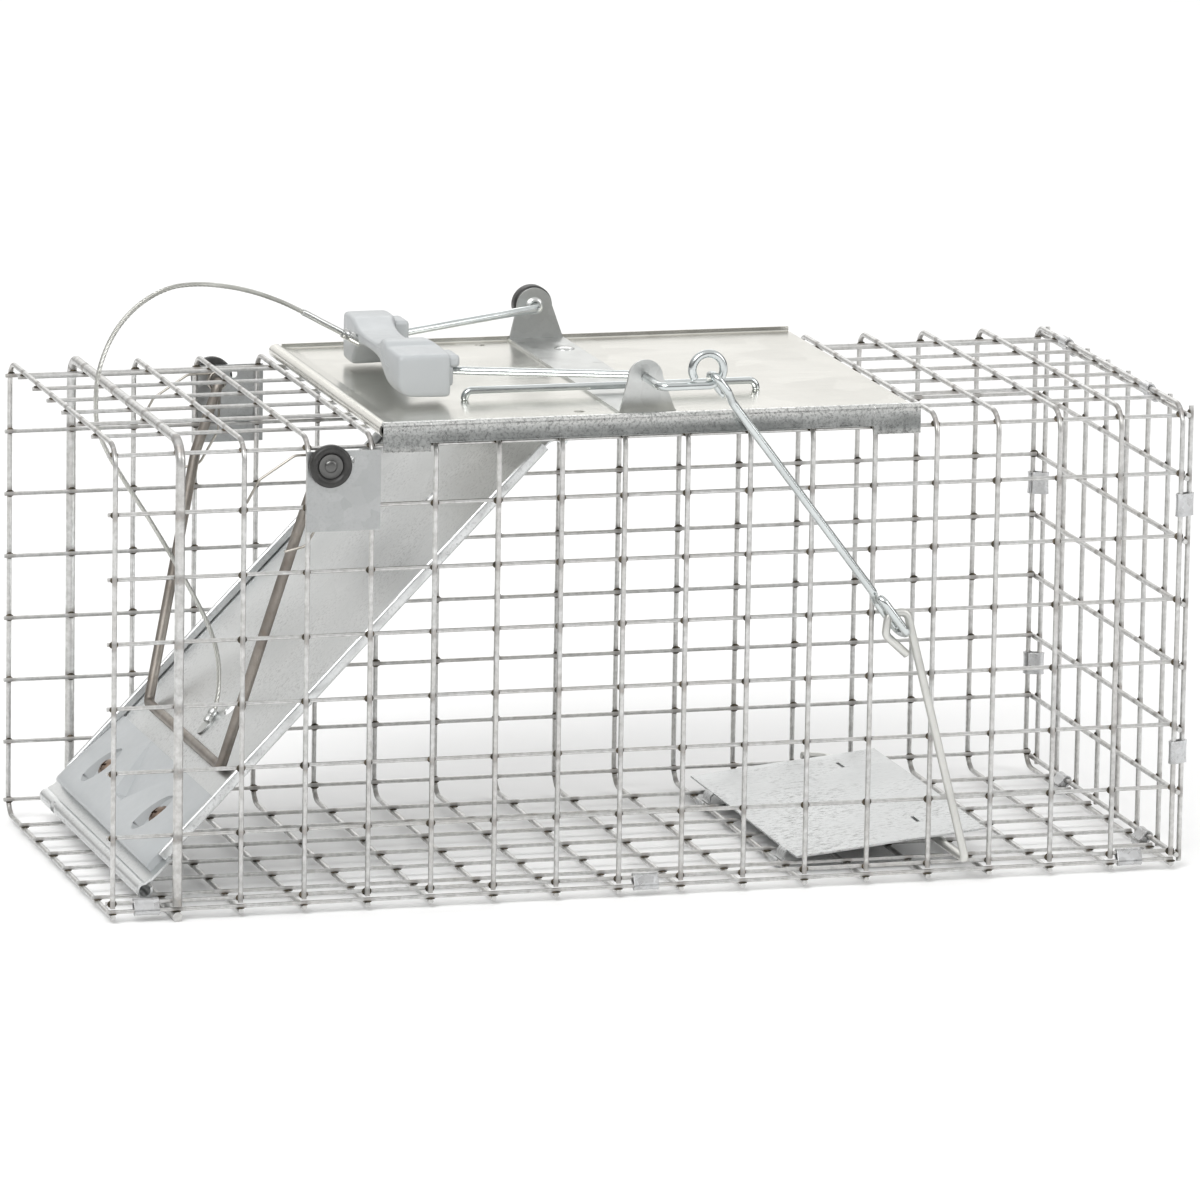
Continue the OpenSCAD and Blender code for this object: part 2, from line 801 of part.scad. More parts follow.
module lift_cable() {
    n = len(cable_pts);
    rings = [for (i = [0:n - 1]) let (
        dir = unit(cable_pts[min(i + 1, n - 1)] - cable_pts[max(i - 1, 0)]),
        across = unit(cross(dir, [0, 1, 0])),
        up = cross(across, dir)
    ) [for (k = [0:cable_sides - 1])
        cable_pts[i] + cable_d / 2 * (across * cos(k * 360 / cable_sides) + up * sin(k * 360 / cable_sides))
    ]];
    m = cable_sides;
    color("gainsboro")
        polyhedron(
            points = [for (ring = rings) each ring],
            faces = concat(
                [[for (k = [0:m - 1]) m - 1 - k]],
                [for (i = [0:n - 2]) for (k = [0:m - 1])
                    [i * m + k, i * m + (k + 1) % m, (i + 1) * m + (k + 1) % m, (i + 1) * m + k]],
                [[for (k = [0:m - 1]) (n - 1) * m + k]]
            )
        );
}

// Crimped sleeve where the cable leaves the grip
module cable_sleeve() {
    a = cable_route[0];
    color("silver") bar(a - cable_out * 9, a - cable_out * 0.02, 4.0);
}

// Ferrule on a foot plate that holds the cable's lower end on the door
module cable_stop() {
    color("silver")
        on_door()
            difference() {
                union() {
                    translate([171, 2.6, door_t / 2 + 0.02]) cube([7.4, 6.8, 0.9]);
                    translate([171.6, 5.9, 2.1])
                        rotate([0, 90, 0])
                            cylinder(h = 5.8, d = 3.2);
                }
                // Bore along the cable, a little past its end
                bar([168.5, 4.8, 2.08], [173.0, 6.08, 1.5], cable_d + 0.4);
            }
}

long_wires();
hoop_wires();
door_frame_hoop();
rear_uprights();
rear_crossbars();
seam_clips();
rear_clips();
top_plate();
handle_bracket();
bracket_rivets();
plate_rod();
handle_wire();
handle_grip();
handle_cap();
trigger_rod();
trip_rod();
trip_pan();
door_panel();
door_hinge_rod();
door_hangers();
striker();
striker_screws();
lock_bar();
side_plate_front();
side_plate_back();
lock_cap_front();
lock_cap_back();
spring_coils();
spring_arms();
lift_cable();
cable_sleeve();
cable_stop();
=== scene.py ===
"""Live catch trap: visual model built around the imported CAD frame.

Shapes and the sizes in capitals are in mm, as in the CAD."""
import math
import random

import bmesh
import bpy
from mathutils import Matrix, Vector, noise


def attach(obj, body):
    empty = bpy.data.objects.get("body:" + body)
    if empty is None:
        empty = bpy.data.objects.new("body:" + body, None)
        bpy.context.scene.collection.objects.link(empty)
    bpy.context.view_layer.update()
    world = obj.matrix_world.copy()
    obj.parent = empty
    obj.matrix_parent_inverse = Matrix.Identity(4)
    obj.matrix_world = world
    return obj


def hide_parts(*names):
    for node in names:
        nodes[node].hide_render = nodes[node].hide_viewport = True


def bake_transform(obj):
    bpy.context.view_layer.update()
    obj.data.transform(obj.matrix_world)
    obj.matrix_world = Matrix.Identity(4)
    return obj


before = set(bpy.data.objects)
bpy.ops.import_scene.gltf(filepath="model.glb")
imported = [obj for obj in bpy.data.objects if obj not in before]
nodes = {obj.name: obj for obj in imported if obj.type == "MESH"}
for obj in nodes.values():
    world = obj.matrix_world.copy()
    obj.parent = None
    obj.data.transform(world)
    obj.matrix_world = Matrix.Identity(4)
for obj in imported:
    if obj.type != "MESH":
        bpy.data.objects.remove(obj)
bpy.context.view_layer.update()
scene = bpy.context.scene
random.seed(7)

MM = 0.001

# Cage: mesh pitch, half its length, and the wire rows at its sides, floor and top
PITCH = 25.4
HALF = 215.9
ROW_Y, ROW_Z, TOP_Z = 89.4, 4.62, 185.82
BEND_R = 6.7
TOP_ROW, FLOOR_ROW = 66.3, 60.8
FRONT_RISE, BACK_RISE = 156, 155
SIDE_MEAN = (FRONT_RISE + BACK_RISE) / 2
TOP_GAPS = (-48, 53.6)
FLOOR_GAPS = (-53.5, 48.1)
REAR_ROW_Z = 6.22
# Top plate: its surface, thickness and four edges
PLATE_Z, PLATE_T = 191.0, 0.9
PLATE_L, PLATE_R, PLATE_F, PLATE_B = -111.0, 106.0, -95.4, 82.0
# Handle, with the eye at the end of its arm
HANDLE_X, HANDLE_Z, EAR_Y, ARM_Y = -2.0, 205.0, 80.0, -101.6
EYE_X, EYE_R = 16.8, 6.3
GRIP_X = -80.0
ROD_R = 1.65
# Door, the block on it and the lock bar
HINGE = Vector((-36.5, 0, 182.4))
SLOPE = math.radians(46.0)
DOOR_LEN, DOOR_W, DOOR_T = 238.0, 160.0, 0.9
STRIKE_U, STRIKE_END = 193.5, 231.0
SCREW_U, SCREW_Y = 213.5, 43
LOCK = Vector((-132.0, 0, 177.6))
LOCK_Y, FOOT_Y = 82.6, 60.0
SIDE_PLATE_Y = 92.3
BAR_R = 2.1


# --- Camera ---

CAMERA_TURN = {"azimuth": -16.241, "elevation": 11.774, "roll": 0.960}
CAMERA_AT = (-1.09015, -3.75766, 0.91563)
CAMERA_LENS_MM = 300.97


def make_camera():
    azimuth, elevation, roll = (math.radians(angle) for angle in CAMERA_TURN.values())
    back = Vector((math.sin(azimuth) * math.cos(elevation),
                   -math.cos(azimuth) * math.cos(elevation),
                   math.sin(elevation)))
    right = Vector((math.cos(azimuth), math.sin(azimuth), 0.0))
    up = back.cross(right)
    right, up = (right * math.cos(roll) + up * math.sin(roll),
                 up * math.cos(roll) - right * math.sin(roll))
    data = bpy.data.cameras.new("camera")
    data.sensor_width = 36.0
    data.lens = CAMERA_LENS_MM
    data.clip_end = 50.0
    obj = bpy.data.objects.new("camera", data)
    rotation = Matrix((right, up, back)).transposed().to_4x4()
    obj.matrix_world = Matrix.Translation(CAMERA_AT) @ rotation
    scene.collection.objects.link(obj)
    scene.camera = obj


make_camera()


# --- Mesh helpers ---

class Shape:
    """Collects vertices in mm and faces, and becomes one object."""

    def __init__(self):
        self.verts, self.faces = [], []

    def add(self, verts, faces):
        base = len(self.verts)
        self.verts += [tuple(v) for v in verts]
        self.faces += [tuple(base + i for i in f) for f in faces]
        return self

    def loft(self, rings, closed=True, cap=True):
        """Quads between rings of equal length; closed joins each ring's ends."""
        n = len(rings[0])
        faces = []
        for i in range(len(rings) - 1):
            for k in range(n if closed else n - 1):
                j = (k + 1) % n
                faces.append((i * n + k, i * n + j, (i + 1) * n + j, (i + 1) * n + k))
        if cap and closed:
            faces.append(tuple(range(n - 1, -1, -1)))
            last = (len(rings) - 1) * n
            faces.append(tuple(last + k for k in range(n)))
        return self.add([v for ring in rings for v in ring], faces)

    def tube(self, path, radius, sides=14):
        """Round tube along a path, with its ends rounded over."""
        path = [Vector(p) for p in path]
        rings = []
        normal = None
        for i, point in enumerate(path):
            d = (path[min(i + 1, len(path) - 1)] - path[max(i - 1, 0)]).normalized()
            if normal is None:
                normal = d.orthogonal().normalized()
            normal = (normal - d * normal.dot(d)).normalized()
            side = d.cross(normal)
            rings.append([point + radius * (normal * math.cos(t) + side * math.sin(t))
                          for t in (2 * math.pi * k / sides for k in range(sides))])
        outward = (path[0] - path[1]).normalized(), (path[-1] - path[-2]).normalized()
        set_back, end_size = 0.22 * radius, 0.8
        start = [path[0] + (v - path[0]) * end_size for v in rings[0]]
        end = [path[-1] + (v - path[-1]) * end_size for v in rings[-1]]
        rings[0] = [v - outward[0] * set_back for v in rings[0]]
        rings[-1] = [v - outward[1] * set_back for v in rings[-1]]
        return self.loft([start] + rings + [end])

    def lathe(self, profile, origin, axis, segments=48, caps=True):
        """Turns (radius, distance along the axis) points about an axis through origin."""
        axis = Vector(axis).normalized()
        u = axis.orthogonal().normalized()
        v = axis.cross(u)
        rings = []
        for r, h in profile:
            rings.append([Vector(origin) + axis * h + r * (u * math.cos(t) + v * math.sin(t))
                          for t in (2 * math.pi * k / segments for k in range(segments))])
        return self.loft(rings, cap=caps)

    def box(self, low, high):
        x0, y0, z0 = low
        x1, y1, z1 = high
        return self.loft([[(x0, y0, z), (x1, y0, z), (x1, y1, z), (x0, y1, z)] for z in (z0, z1)])

    def ball(self, centre, radii, rings, segments, axes=None):
        """Flattened ball whose three radii lie along the axes."""
        ax = axes or (Vector((1, 0, 0)), Vector((0, 1, 0)), Vector((0, 0, 1)))
        c = Vector(centre)
        verts = [c + ax[2] * radii[2]]
        for i in range(1, rings):
            t = math.pi * i / rings
            for k in range(segments):
                p = 2 * math.pi * k / segments
                verts.append(c + ax[0] * radii[0] * math.sin(t) * math.cos(p)
                             + ax[1] * radii[1] * math.sin(t) * math.sin(p)
                             + ax[2] * radii[2] * math.cos(t))
        verts.append(c - ax[2] * radii[2])
        faces = [(0, 1 + k, 1 + (k + 1) % segments) for k in range(segments)]
        for i in range(rings - 2):
            for k in range(segments):
                a, b = 1 + i * segments + k, 1 + i * segments + (k + 1) % segments
                faces.append((a, a + segments, b + segments, b))
        last, base = len(verts) - 1, 1 + (rings - 2) * segments
        faces += [(last, base + (k + 1) % segments, base + k) for k in range(segments)]
        return self.add(verts, faces)

    def mesh(self, name):
        data = bpy.data.meshes.new(name)
        data.from_pydata([(x * MM, y * MM, z * MM) for x, y, z in self.verts], [], self.faces)
        bm = bmesh.new()
        bm.from_mesh(data)
        bmesh.ops.recalc_face_normals(bm, faces=bm.faces)
        bm.to_mesh(data)
        bm.free()
        return data


STRAIGHT = 0.001


def bent_path(points, r, step=9.0):
    """Polyline in mm with each corner rounded to radius r."""
    pts = [Vector(p) for p in points]
    out = [pts[0]]
    for p, q, s in zip(pts, pts[1:], pts[2:]):
        d0, d1 = (q - p).normalized(), (s - q).normalized()
        a = math.acos(max(-1.0, min(1.0, d0.dot(d1))))
        if a < STRAIGHT:
            continue
        inward = (d1 - d0 * d1.dot(d0)).normalized()
        c = q - d0 * (r * math.tan(a / 2)) + inward * r
        n = max(2, math.ceil(math.degrees(a) / step))
        out += [c + r * (d0 * math.sin(a * k / n) - inward * math.cos(a * k / n)) for k in range(n + 1)]
    return out + [pts[-1]]


def sheet_loop(centre_line, t):
    """Closed outline of a sheet of thickness t whose middle follows a 2D line."""
    pts = [Vector((a, b)) for a, b in centre_line]
    left, right = [], []
    for i, p in enumerate(pts):
        d0 = (p - pts[i - 1]).normalized() if i else (pts[1] - p).normalized()
        d1 = (pts[i + 1] - p).normalized() if i < len(pts) - 1 else d0
        m = (d0 + d1).normalized()
        n = Vector((-m.y, m.x))
        w = t / 2 / max(0.5, n.dot(Vector((-d0.y, d0.x))))
        left.append(p + n * w)
        right.append(p - n * w)
    return left + right[::-1]


def rounded(points, r, step=15.0):
    """A 2D line with its corners rounded."""
    path = bent_path([(a, b, 0.0) for a, b in points], r, step)
    return [(p.x, p.y) for p in path]


def spline(points, per_span):
    """Smooth curve through the points."""
    pts = [Vector(p) for p in points]
    out = []
    for i in range(len(pts) - 1):
        p0, p1, p2, p3 = pts[max(i - 1, 0)], pts[i], pts[i + 1], pts[min(i + 2, len(pts) - 1)]
        for k in range(per_span):
            t = k / per_span
            out.append(0.5 * (2 * p1 + (p2 - p0) * t + (2 * p0 - 5 * p1 + 4 * p2 - p3) * t * t
                              + (3 * p1 - p0 - 3 * p2 + p3) * t ** 3))
    return out + [pts[-1]]


def finish_mesh(data, smooth_angle):
    for polygon in data.polygons:
        polygon.use_smooth = True
    data.set_sharp_from_angle(angle=math.radians(smooth_angle))


def piece(name, shape, material, body, stands_for=(), smooth_angle=38, bevel_mm=0.0, cutters=None):
    """Makes the shape one object that rides on a body, in a material."""
    data = shape.mesh(name)
    obj = bpy.data.objects.new(name, data)
    scene.collection.objects.link(obj)
    if cutters is not None:
        tool = bpy.data.objects.new(name + "_cut", cutters.mesh(name + "_cut"))
        scene.collection.objects.link(tool)
        modifier = obj.modifiers.new("cut", "BOOLEAN")
        modifier.operation, modifier.solver, modifier.object = "DIFFERENCE", "EXACT", tool
        bpy.context.view_layer.update()
        depsgraph = bpy.context.evaluated_depsgraph_get()
        result = bpy.data.meshes.new_from_object(obj.evaluated_get(depsgraph))
        obj.modifiers.clear()
        obj.data = result
        bpy.data.objects.remove(tool)
    finish_mesh(obj.data, smooth_angle)
    if bevel_mm:
        add_bevel(obj, bevel_mm)
    obj.data.materials.clear()
    obj.data.materials.append(material)
    if stands_for:
        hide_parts(*stands_for)
    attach(obj, body)
    return obj


def add_bevel(obj, width_mm, segments=2):
    modifier = obj.modifiers.new("edge", "BEVEL")
    modifier.width = width_mm * MM
    modifier.segments = segments
    modifier.limit_method = "ANGLE"
    modifier.angle_limit = math.radians(35)
    modifier.harden_normals = False


# --- Materials ---

class Nodes:
    """Short names for building one material's node tree."""

    def __init__(self, name):
        self.material = bpy.data.materials.new(name)
        self.material.use_nodes = True
        self.tree = self.material.node_tree
        self.shader = self.tree.nodes["Principled BSDF"]
        self.coord = self.tree.nodes.new("ShaderNodeTexCoord").outputs["Object"]

    def link(self, a, b):
        self.tree.links.new(a, b)

    def put(self, socket, value):
        if isinstance(value, bpy.types.NodeSocket):
            self.link(value, socket)
        else:
            socket.default_value = value

    def math(self, op, a, b=0.0, c=0.0):
        node = self.tree.nodes.new("ShaderNodeMath")
        node.operation = op
        for socket, value in zip(node.inputs, (a, b, c)):
            self.put(socket, value)
        return node.outputs[0]

    def axes(self):
        node = self.tree.nodes.new("ShaderNodeSeparateXYZ")
        self.link(self.coord, node.inputs[0])
        return node.outputs

    def stretch(self, scale):
        node = self.tree.nodes.new("ShaderNodeMapping")
        node.inputs["Scale"].default_value = scale
        self.link(self.coord, node.inputs["Vector"])
        return node.outputs[0]

    def noise(self, scale, detail=3.0, rough=0.55, vector=None):
        node = self.tree.nodes.new("ShaderNodeTexNoise")
        node.inputs["Scale"].default_value = scale
        node.inputs["Detail"].default_value = detail
        node.inputs["Roughness"].default_value = rough
        self.link(vector or self.coord, node.inputs["Vector"])
        return node.outputs["Fac"]

    def warped(self, scale, amount):
        """Coordinates pushed about by a noise."""
        push = self.tree.nodes.new("ShaderNodeVectorMath")
        push.operation = "SCALE"
        push.inputs["Scale"].default_value = amount
        self.link(self.noise(scale).node.outputs["Color"], push.inputs[0])
        shifted = self.tree.nodes.new("ShaderNodeVectorMath")
        shifted.operation = "ADD"
        self.link(self.coord, shifted.inputs[0])
        self.link(push.outputs[0], shifted.inputs[1])
        return shifted.outputs[0]

    def cells(self, scale, vector):
        node = self.tree.nodes.new("ShaderNodeTexVoronoi")
        node.inputs["Scale"].default_value = scale
        self.link(vector, node.inputs["Vector"])
        return node.outputs["Color"]

    def ramp(self, value, stops):
        node = self.tree.nodes.new("ShaderNodeValToRGB")
        elements = node.color_ramp.elements
        while len(elements) < len(stops):
            elements.new(0.5)
        for element, (position, colour) in zip(elements, stops):
            element.position = position
            element.color = (*colour, 1.0)
        self.link(value, node.inputs[0])
        return node.outputs[0]

    def span(self, value, low, high, to_low, to_high):
        node = self.tree.nodes.new("ShaderNodeMapRange")
        for name, v in (("From Min", low), ("From Max", high), ("To Min", to_low), ("To Max", to_high)):
            node.inputs[name].default_value = v
        self.link(value, node.inputs["Value"])
        return node.outputs["Result"]

    def mix(self, factor, a, b):
        node = self.tree.nodes.new("ShaderNodeMix")
        node.data_type = "RGBA"
        self.put(node.inputs["Factor"], factor)
        self.put(node.inputs["A"], (*a, 1.0) if isinstance(a, tuple) else a)
        self.put(node.inputs["B"], (*b, 1.0) if isinstance(b, tuple) else b)
        return node.outputs["Result"]

    def bump(self, height, strength, distance_mm):
        node = self.tree.nodes.new("ShaderNodeBump")
        node.inputs["Strength"].default_value = strength
        node.inputs["Distance"].default_value = distance_mm * MM
        self.link(height, node.inputs["Height"])
        self.link(node.outputs["Normal"], self.shader.inputs["Normal"])

    def finish(self, base, metallic, rough, **more):
        values = {"Base Color": base, "Metallic": metallic, "Roughness": rough, **more}
        for name, value in values.items():
            self.put(self.shader.inputs[name.replace("_", " ")], value)
        return self.material


def distance_to_rows(n, value, first_mm, pitch_mm=PITCH):
    """Distance in mm from a coordinate to the nearest of evenly spaced rows."""
    turns = n.math("MULTIPLY_ADD", value, 1000.0 / pitch_mm, 0.5 - first_mm / pitch_mm)
    off = n.math("SUBTRACT", n.math("FRACT", turns), 0.5)
    return n.math("MULTIPLY", n.math("ABSOLUTE", off), pitch_mm)


def burn_of(n, distance):
    """Strongest at a weld, gone 3 mm away, with a ragged edge."""
    ragged = n.math("MULTIPLY_ADD", n.noise(900.0, 2.0), 1.6, -0.8)
    return n.span(n.math("ADD", distance, ragged), 1.0, 2.6, 0.42, 0.0)


def wire_finish(name, burn_for):
    """Zinc-plated wire: grey with fine streaks, brown-black where it was welded."""
    n = Nodes(name)
    fine = n.noise(420.0, 4.0, 0.6)
    broad = n.noise(38.0, 2.0)
    zinc = n.ramp(fine, [(0.30, (0.50, 0.50, 0.49)), (0.52, (0.62, 0.62, 0.61)), (0.75, (0.74, 0.74, 0.735))])
    zinc = n.mix(n.span(broad, 0.40, 0.72, 0.0, 0.22), zinc, (0.50, 0.455, 0.41))
    burn = burn_for(n)
    scorch = n.ramp(n.noise(700.0, 3.0), [(0.35, (0.030, 0.024, 0.020)), (0.60, (0.115, 0.075, 0.050)),
                                          (0.78, (0.28, 0.20, 0.14))])
    rough = n.math("MULTIPLY_ADD", burn, 0.30, n.span(fine, 0.3, 0.75, 0.42, 0.30))
    n.bump(n.noise(1500.0, 3.0), 0.06, 0.04)
    metal = n.math("MULTIPLY_ADD", burn, -0.9, 1.0)
    return n.finish(n.mix(burn, zinc, scorch), metal, rough)


def burn_along_x(n):
    return burn_of(n, distance_to_rows(n, n.axes()["X"], HALF % PITCH))


def burn_around_hoop(n):
    """Side legs cross the long wires at their heights, top and bottom runs at their Y rows."""
    _, y, z = n.axes()
    side = distance_to_rows(n, z, (ROW_Z + SIDE_MEAN) % PITCH)
    top = distance_to_rows(n, y, TOP_ROW % PITCH)
    floor = distance_to_rows(n, y, FLOOR_ROW % PITCH)
    is_side = n.math("GREATER_THAN", n.math("ABSOLUTE", y), (ROW_Y - 0.9) * MM)
    is_top = n.math("GREATER_THAN", z, 100 * MM)
    level = n.math("ADD", n.math("MULTIPLY", is_top, top),
                   n.math("MULTIPLY", n.math("SUBTRACT", 1.0, is_top), floor))
    both = n.math("ADD", n.math("MULTIPLY", is_side, side),
                  n.math("MULTIPLY", n.math("SUBTRACT", 1.0, is_side), level))
    return burn_of(n, both)


def burn_rear_upright(n):
    return burn_of(n, distance_to_rows(n, n.axes()["Z"], REAR_ROW_Z))


def burn_rear_crossbar(n):
    return burn_of(n, distance_to_rows(n, n.axes()["Y"], PITCH / 2))


def rod_finish(name, light, dark, rough, stain=0.0):
    """Drawn wire: faint lengthwise tone changes, small pits, optional brown stain."""
    n = Nodes(name)
    tone = n.noise(42.0, 3.0, 0.55)
    base = n.ramp(tone, [(0.33, dark), (0.66, light)])
    if stain:
        base = n.mix(n.span(n.noise(260.0, 5.0, 0.7), 0.46, 0.70, 0.0, stain), base, (0.20, 0.15, 0.11))
    n.bump(n.noise(900.0, 3.0), 0.03, 0.03)
    return n.finish(base, 1.0, n.span(n.noise(60.0, 3.0), 0.3, 0.7, rough - 0.05, rough + 0.07))


def spangle_finish(name, low, high, rough_low, rough_high, scale, streak=0.0, grime=0.0, fleck=False):
    """Galvanised sheet: crystal patches that differ in tone and gloss, cloudy stains and fine scratches."""
    n = Nodes(name)
    patch = n.cells(scale, n.warped(60.0, 0.006))
    bright = n.math("MULTIPLY_ADD", n.noise(17.0, 4.0, 0.6), 0.9, n.math("MULTIPLY", patch, 0.28))
    base = n.ramp(bright, [(0.38, low), (0.80, high)])
    if streak:
        lines = n.noise(30.0, 4.0, 0.6, vector=n.stretch((1.0, 14.0, 14.0)))
        base = n.mix(n.span(lines, 0.45, 0.68, 0.0, streak), base, tuple(0.62 * c for c in high))
    if grime:
        # Flecks are short dark dashes along the sheet
        spots = n.noise(760.0, 6.0, 0.8, vector=n.stretch((0.45, 1.0, 1.0)) if fleck else None)
        clouds = n.noise(34.0, 3.0, 0.6)
        amount = n.math("MULTIPLY", n.span(spots, 0.50, 0.66, 0.0, 1.0),
                        n.span(clouds, 0.38, 0.62, 0.15, 1.0))
        base = n.mix(n.math("MULTIPLY", amount, grime), base, (0.10, 0.10, 0.10))
    scratch = n.noise(260.0, 5.0, 0.7, vector=n.stretch((0.12, 2.2, 2.2)))
    rough = n.math("MULTIPLY_ADD", patch, rough_high - rough_low,
                   n.span(scratch, 0.35, 0.7, rough_low, rough_low + 0.05))
    n.bump(n.math("MULTIPLY_ADD", n.noise(45.0, 2.0), 0.7, n.math("MULTIPLY", scratch, 0.12)), 0.10, 0.35)
    return n.finish(base, 1.0, rough)


def flange_speckles_and_painted_light(name):
    """Folded edge: zinc with dark speckles and light clouds, a painted dark reflection across the middle, and
    painted highlights where it is bent at the top and hemmed below.
    """
    n = Nodes(name)
    height = n.math("ADD", n.span(n.axes()["Z"], (PLATE_Z - 9.8) * MM, (PLATE_Z + 0.8) * MM, 0.0, 1.0),
                    n.math("MULTIPLY_ADD", n.noise(70.0, 3.0), 0.12, -0.06))
    # Colour by height: painted highlights at the top bend and the bottom hem, painted dark reflection between
    # them
    painted_light_band = n.ramp(height, [(0.14, (0.74, 0.74, 0.72)), (0.30, (0.36, 0.375, 0.37)),
                           (0.62, (0.30, 0.31, 0.305)), (0.84, (0.60, 0.61, 0.60)), (0.94, (0.80, 0.80, 0.78))])
    clouds = n.span(n.noise(26.0, 3.0, 0.6), 0.35, 0.62, 0.0, 0.55)
    base = n.mix(clouds, painted_light_band, (0.66, 0.67, 0.66))
    spots = n.span(n.noise(900.0, 5.0, 0.8), 0.48, 0.62, 0.0, 0.75)
    base = n.mix(spots, base, (0.16, 0.17, 0.165))
    return n.finish(base, 1.0, n.span(n.noise(300.0, 4.0), 0.3, 0.7, 0.24, 0.40))


def plastic_finish(name, colour, rough):
    n = Nodes(name)
    tone = n.noise(28.0, 3.0)
    base = n.ramp(tone, [(0.35, tuple(0.93 * c for c in colour)), (0.68, colour)])
    scuff = n.noise(190.0, 6.0, 0.7, vector=n.stretch((0.5, 3.0, 1.0)))
    base = n.mix(n.span(scuff, 0.62, 0.74, 0.0, 0.22), base, tuple(0.72 * c for c in colour))
    n.bump(n.noise(2600.0, 2.0), 0.10, 0.03)
    return n.finish(base, 0.0, n.span(n.noise(240.0, 3.0), 0.3, 0.7, rough - 0.05, rough + 0.10),
                    Coat_Weight=0.12, Coat_Roughness=0.28)


def burn_finish(name):
    n = Nodes(name)
    base = n.ramp(n.noise(500.0, 4.0), [(0.34, (0.022, 0.020, 0.014)), (0.56, (0.075, 0.062, 0.040)),
                                        (0.76, (0.20, 0.15, 0.105))])
    n.bump(n.noise(1400.0, 3.0), 0.4, 0.10)
    return n.finish(base, 0.35, n.span(n.noise(300.0, 3.0), 0.3, 0.7, 0.45, 0.70))


def rubber_finish(name):
    n = Nodes(name)
    base = n.ramp(n.noise(300.0, 4.0), [(0.3, (0.010, 0.010, 0.010)), (0.7, (0.035, 0.034, 0.032))])
    n.bump(n.noise(2200.0, 2.0), 0.15, 0.04)
    return n.finish(base, 0.0, n.span(n.noise(420.0, 3.0), 0.3, 0.7, 0.34, 0.52))


MAT = {
    "long": wire_finish("zinc_long_wire", burn_along_x),
    "hoop": wire_finish("zinc_hoop_wire", burn_around_hoop),
    "upright": wire_finish("zinc_upright", burn_rear_upright),
    "crossbar": wire_finish("zinc_crossbar", burn_rear_crossbar),
    "weld": burn_finish("weld_burn"),
    "clip": spangle_finish("clip_zinc", (0.46, 0.46, 0.46), (0.70, 0.71, 0.72), 0.22, 0.40, 420.0,
                           grime=0.40),
    "plate": spangle_finish("plate_zinc", (0.76, 0.75, 0.70), (0.84, 0.83, 0.785), 0.17, 0.23, 60.0,
                            streak=0.10),
    "flange": flange_speckles_and_painted_light("flange_zinc"),
    "bracket": spangle_finish("bracket_zinc", (0.52, 0.53, 0.52), (0.66, 0.67, 0.66), 0.26, 0.36, 160.0,
                              grime=0.12),
    "side_plate": spangle_finish("side_plate_zinc", (0.42, 0.43, 0.43), (0.54, 0.55, 0.55), 0.36, 0.46,
                                 160.0, grime=0.25),
    "door": spangle_finish("door_zinc", (0.66, 0.675, 0.675), (0.78, 0.79, 0.79), 0.28, 0.38, 45.0,
                           grime=0.45),
    "pan": spangle_finish("pan_zinc", (0.60, 0.61, 0.61), (0.70, 0.71, 0.71), 0.42, 0.56, 120.0, grime=0.92,
                          fleck=True),
    "rod": rod_finish("bright_rod", (0.70, 0.735, 0.735), (0.56, 0.59, 0.59), 0.20),
    "trip": rod_finish("dull_zinc_rod", (0.74, 0.74, 0.71), (0.60, 0.60, 0.575), 0.42),
    "rivet": rod_finish("rivet_zinc", (0.66, 0.67, 0.66), (0.50, 0.51, 0.50), 0.30),
    "nut": rod_finish("dark_nut", (0.20, 0.20, 0.195), (0.09, 0.09, 0.088), 0.34),
    "bar": rod_finish("lock_bar_steel", (0.40, 0.37, 0.335), (0.22, 0.20, 0.18), 0.46, stain=0.35),
    "spring": rod_finish("spring_steel", (0.55, 0.52, 0.47), (0.33, 0.31, 0.28), 0.36),
    "cable": rod_finish("cable_steel", (0.66, 0.66, 0.63), (0.46, 0.46, 0.43), 0.36),
    "screw": rod_finish("screw_steel", (0.34, 0.26, 0.20), (0.14, 0.10, 0.08), 0.40),
    "plastic": plastic_finish("grey_plastic", (0.47, 0.49, 0.50), 0.40),
    "rubber": rubber_finish("black_rubber"),
}


def dress(node, key):
    """Gives a CAD node that stays as it is one of the materials."""
    obj = nodes[node]
    obj.data.materials.clear()
    obj.data.materials.append(MAT[key])
    for polygon in obj.data.polygons:
        polygon.material_index = 0
    return obj


# --- Lift cable: two lengths that meet where the arch comes down through the mesh ---

CABLE_ROUTE = [
    (-0.098, 0.019, 0.2083), (-0.106, 0.0186, 0.2126), (-0.114, 0.018, 0.217), (-0.124, 0.017, 0.222),
    (-0.136, 0.015, 0.2266), (-0.148, 0.013, 0.2296), (-0.160, 0.011, 0.231), (-0.171, 0.0095, 0.230),
    (-0.182, 0.008, 0.225), (-0.191, 0.0065, 0.217), (-0.197, 0.005, 0.2075), (-0.2005, 0.004, 0.197),
    (-0.2015, 0.003, 0.187), (-0.201, 0.002, 0.177), (-0.197, 0.0015, 0.167), (-0.190, 0.001, 0.155),
    (-0.181, 0.0005, 0.141), (-0.172, 0.0, 0.126), (-0.163, 0.0, 0.110), (-0.156, 0.0, 0.096),
    (-0.1526, -0.001, 0.084), (-0.1524, -0.0025, 0.072), (-0.1544, -0.0045, 0.0635),
    (-0.1576, -0.006, 0.0592),
]
CABLE_D = 0.0019
# The point of the route where the two lengths meet, and the steps from each point to the next
CABLE_SPLIT = 12
CABLE_STEPS = 14


def path_length(points):
    return sum((b - a).length for a, b in zip(points, points[1:]))


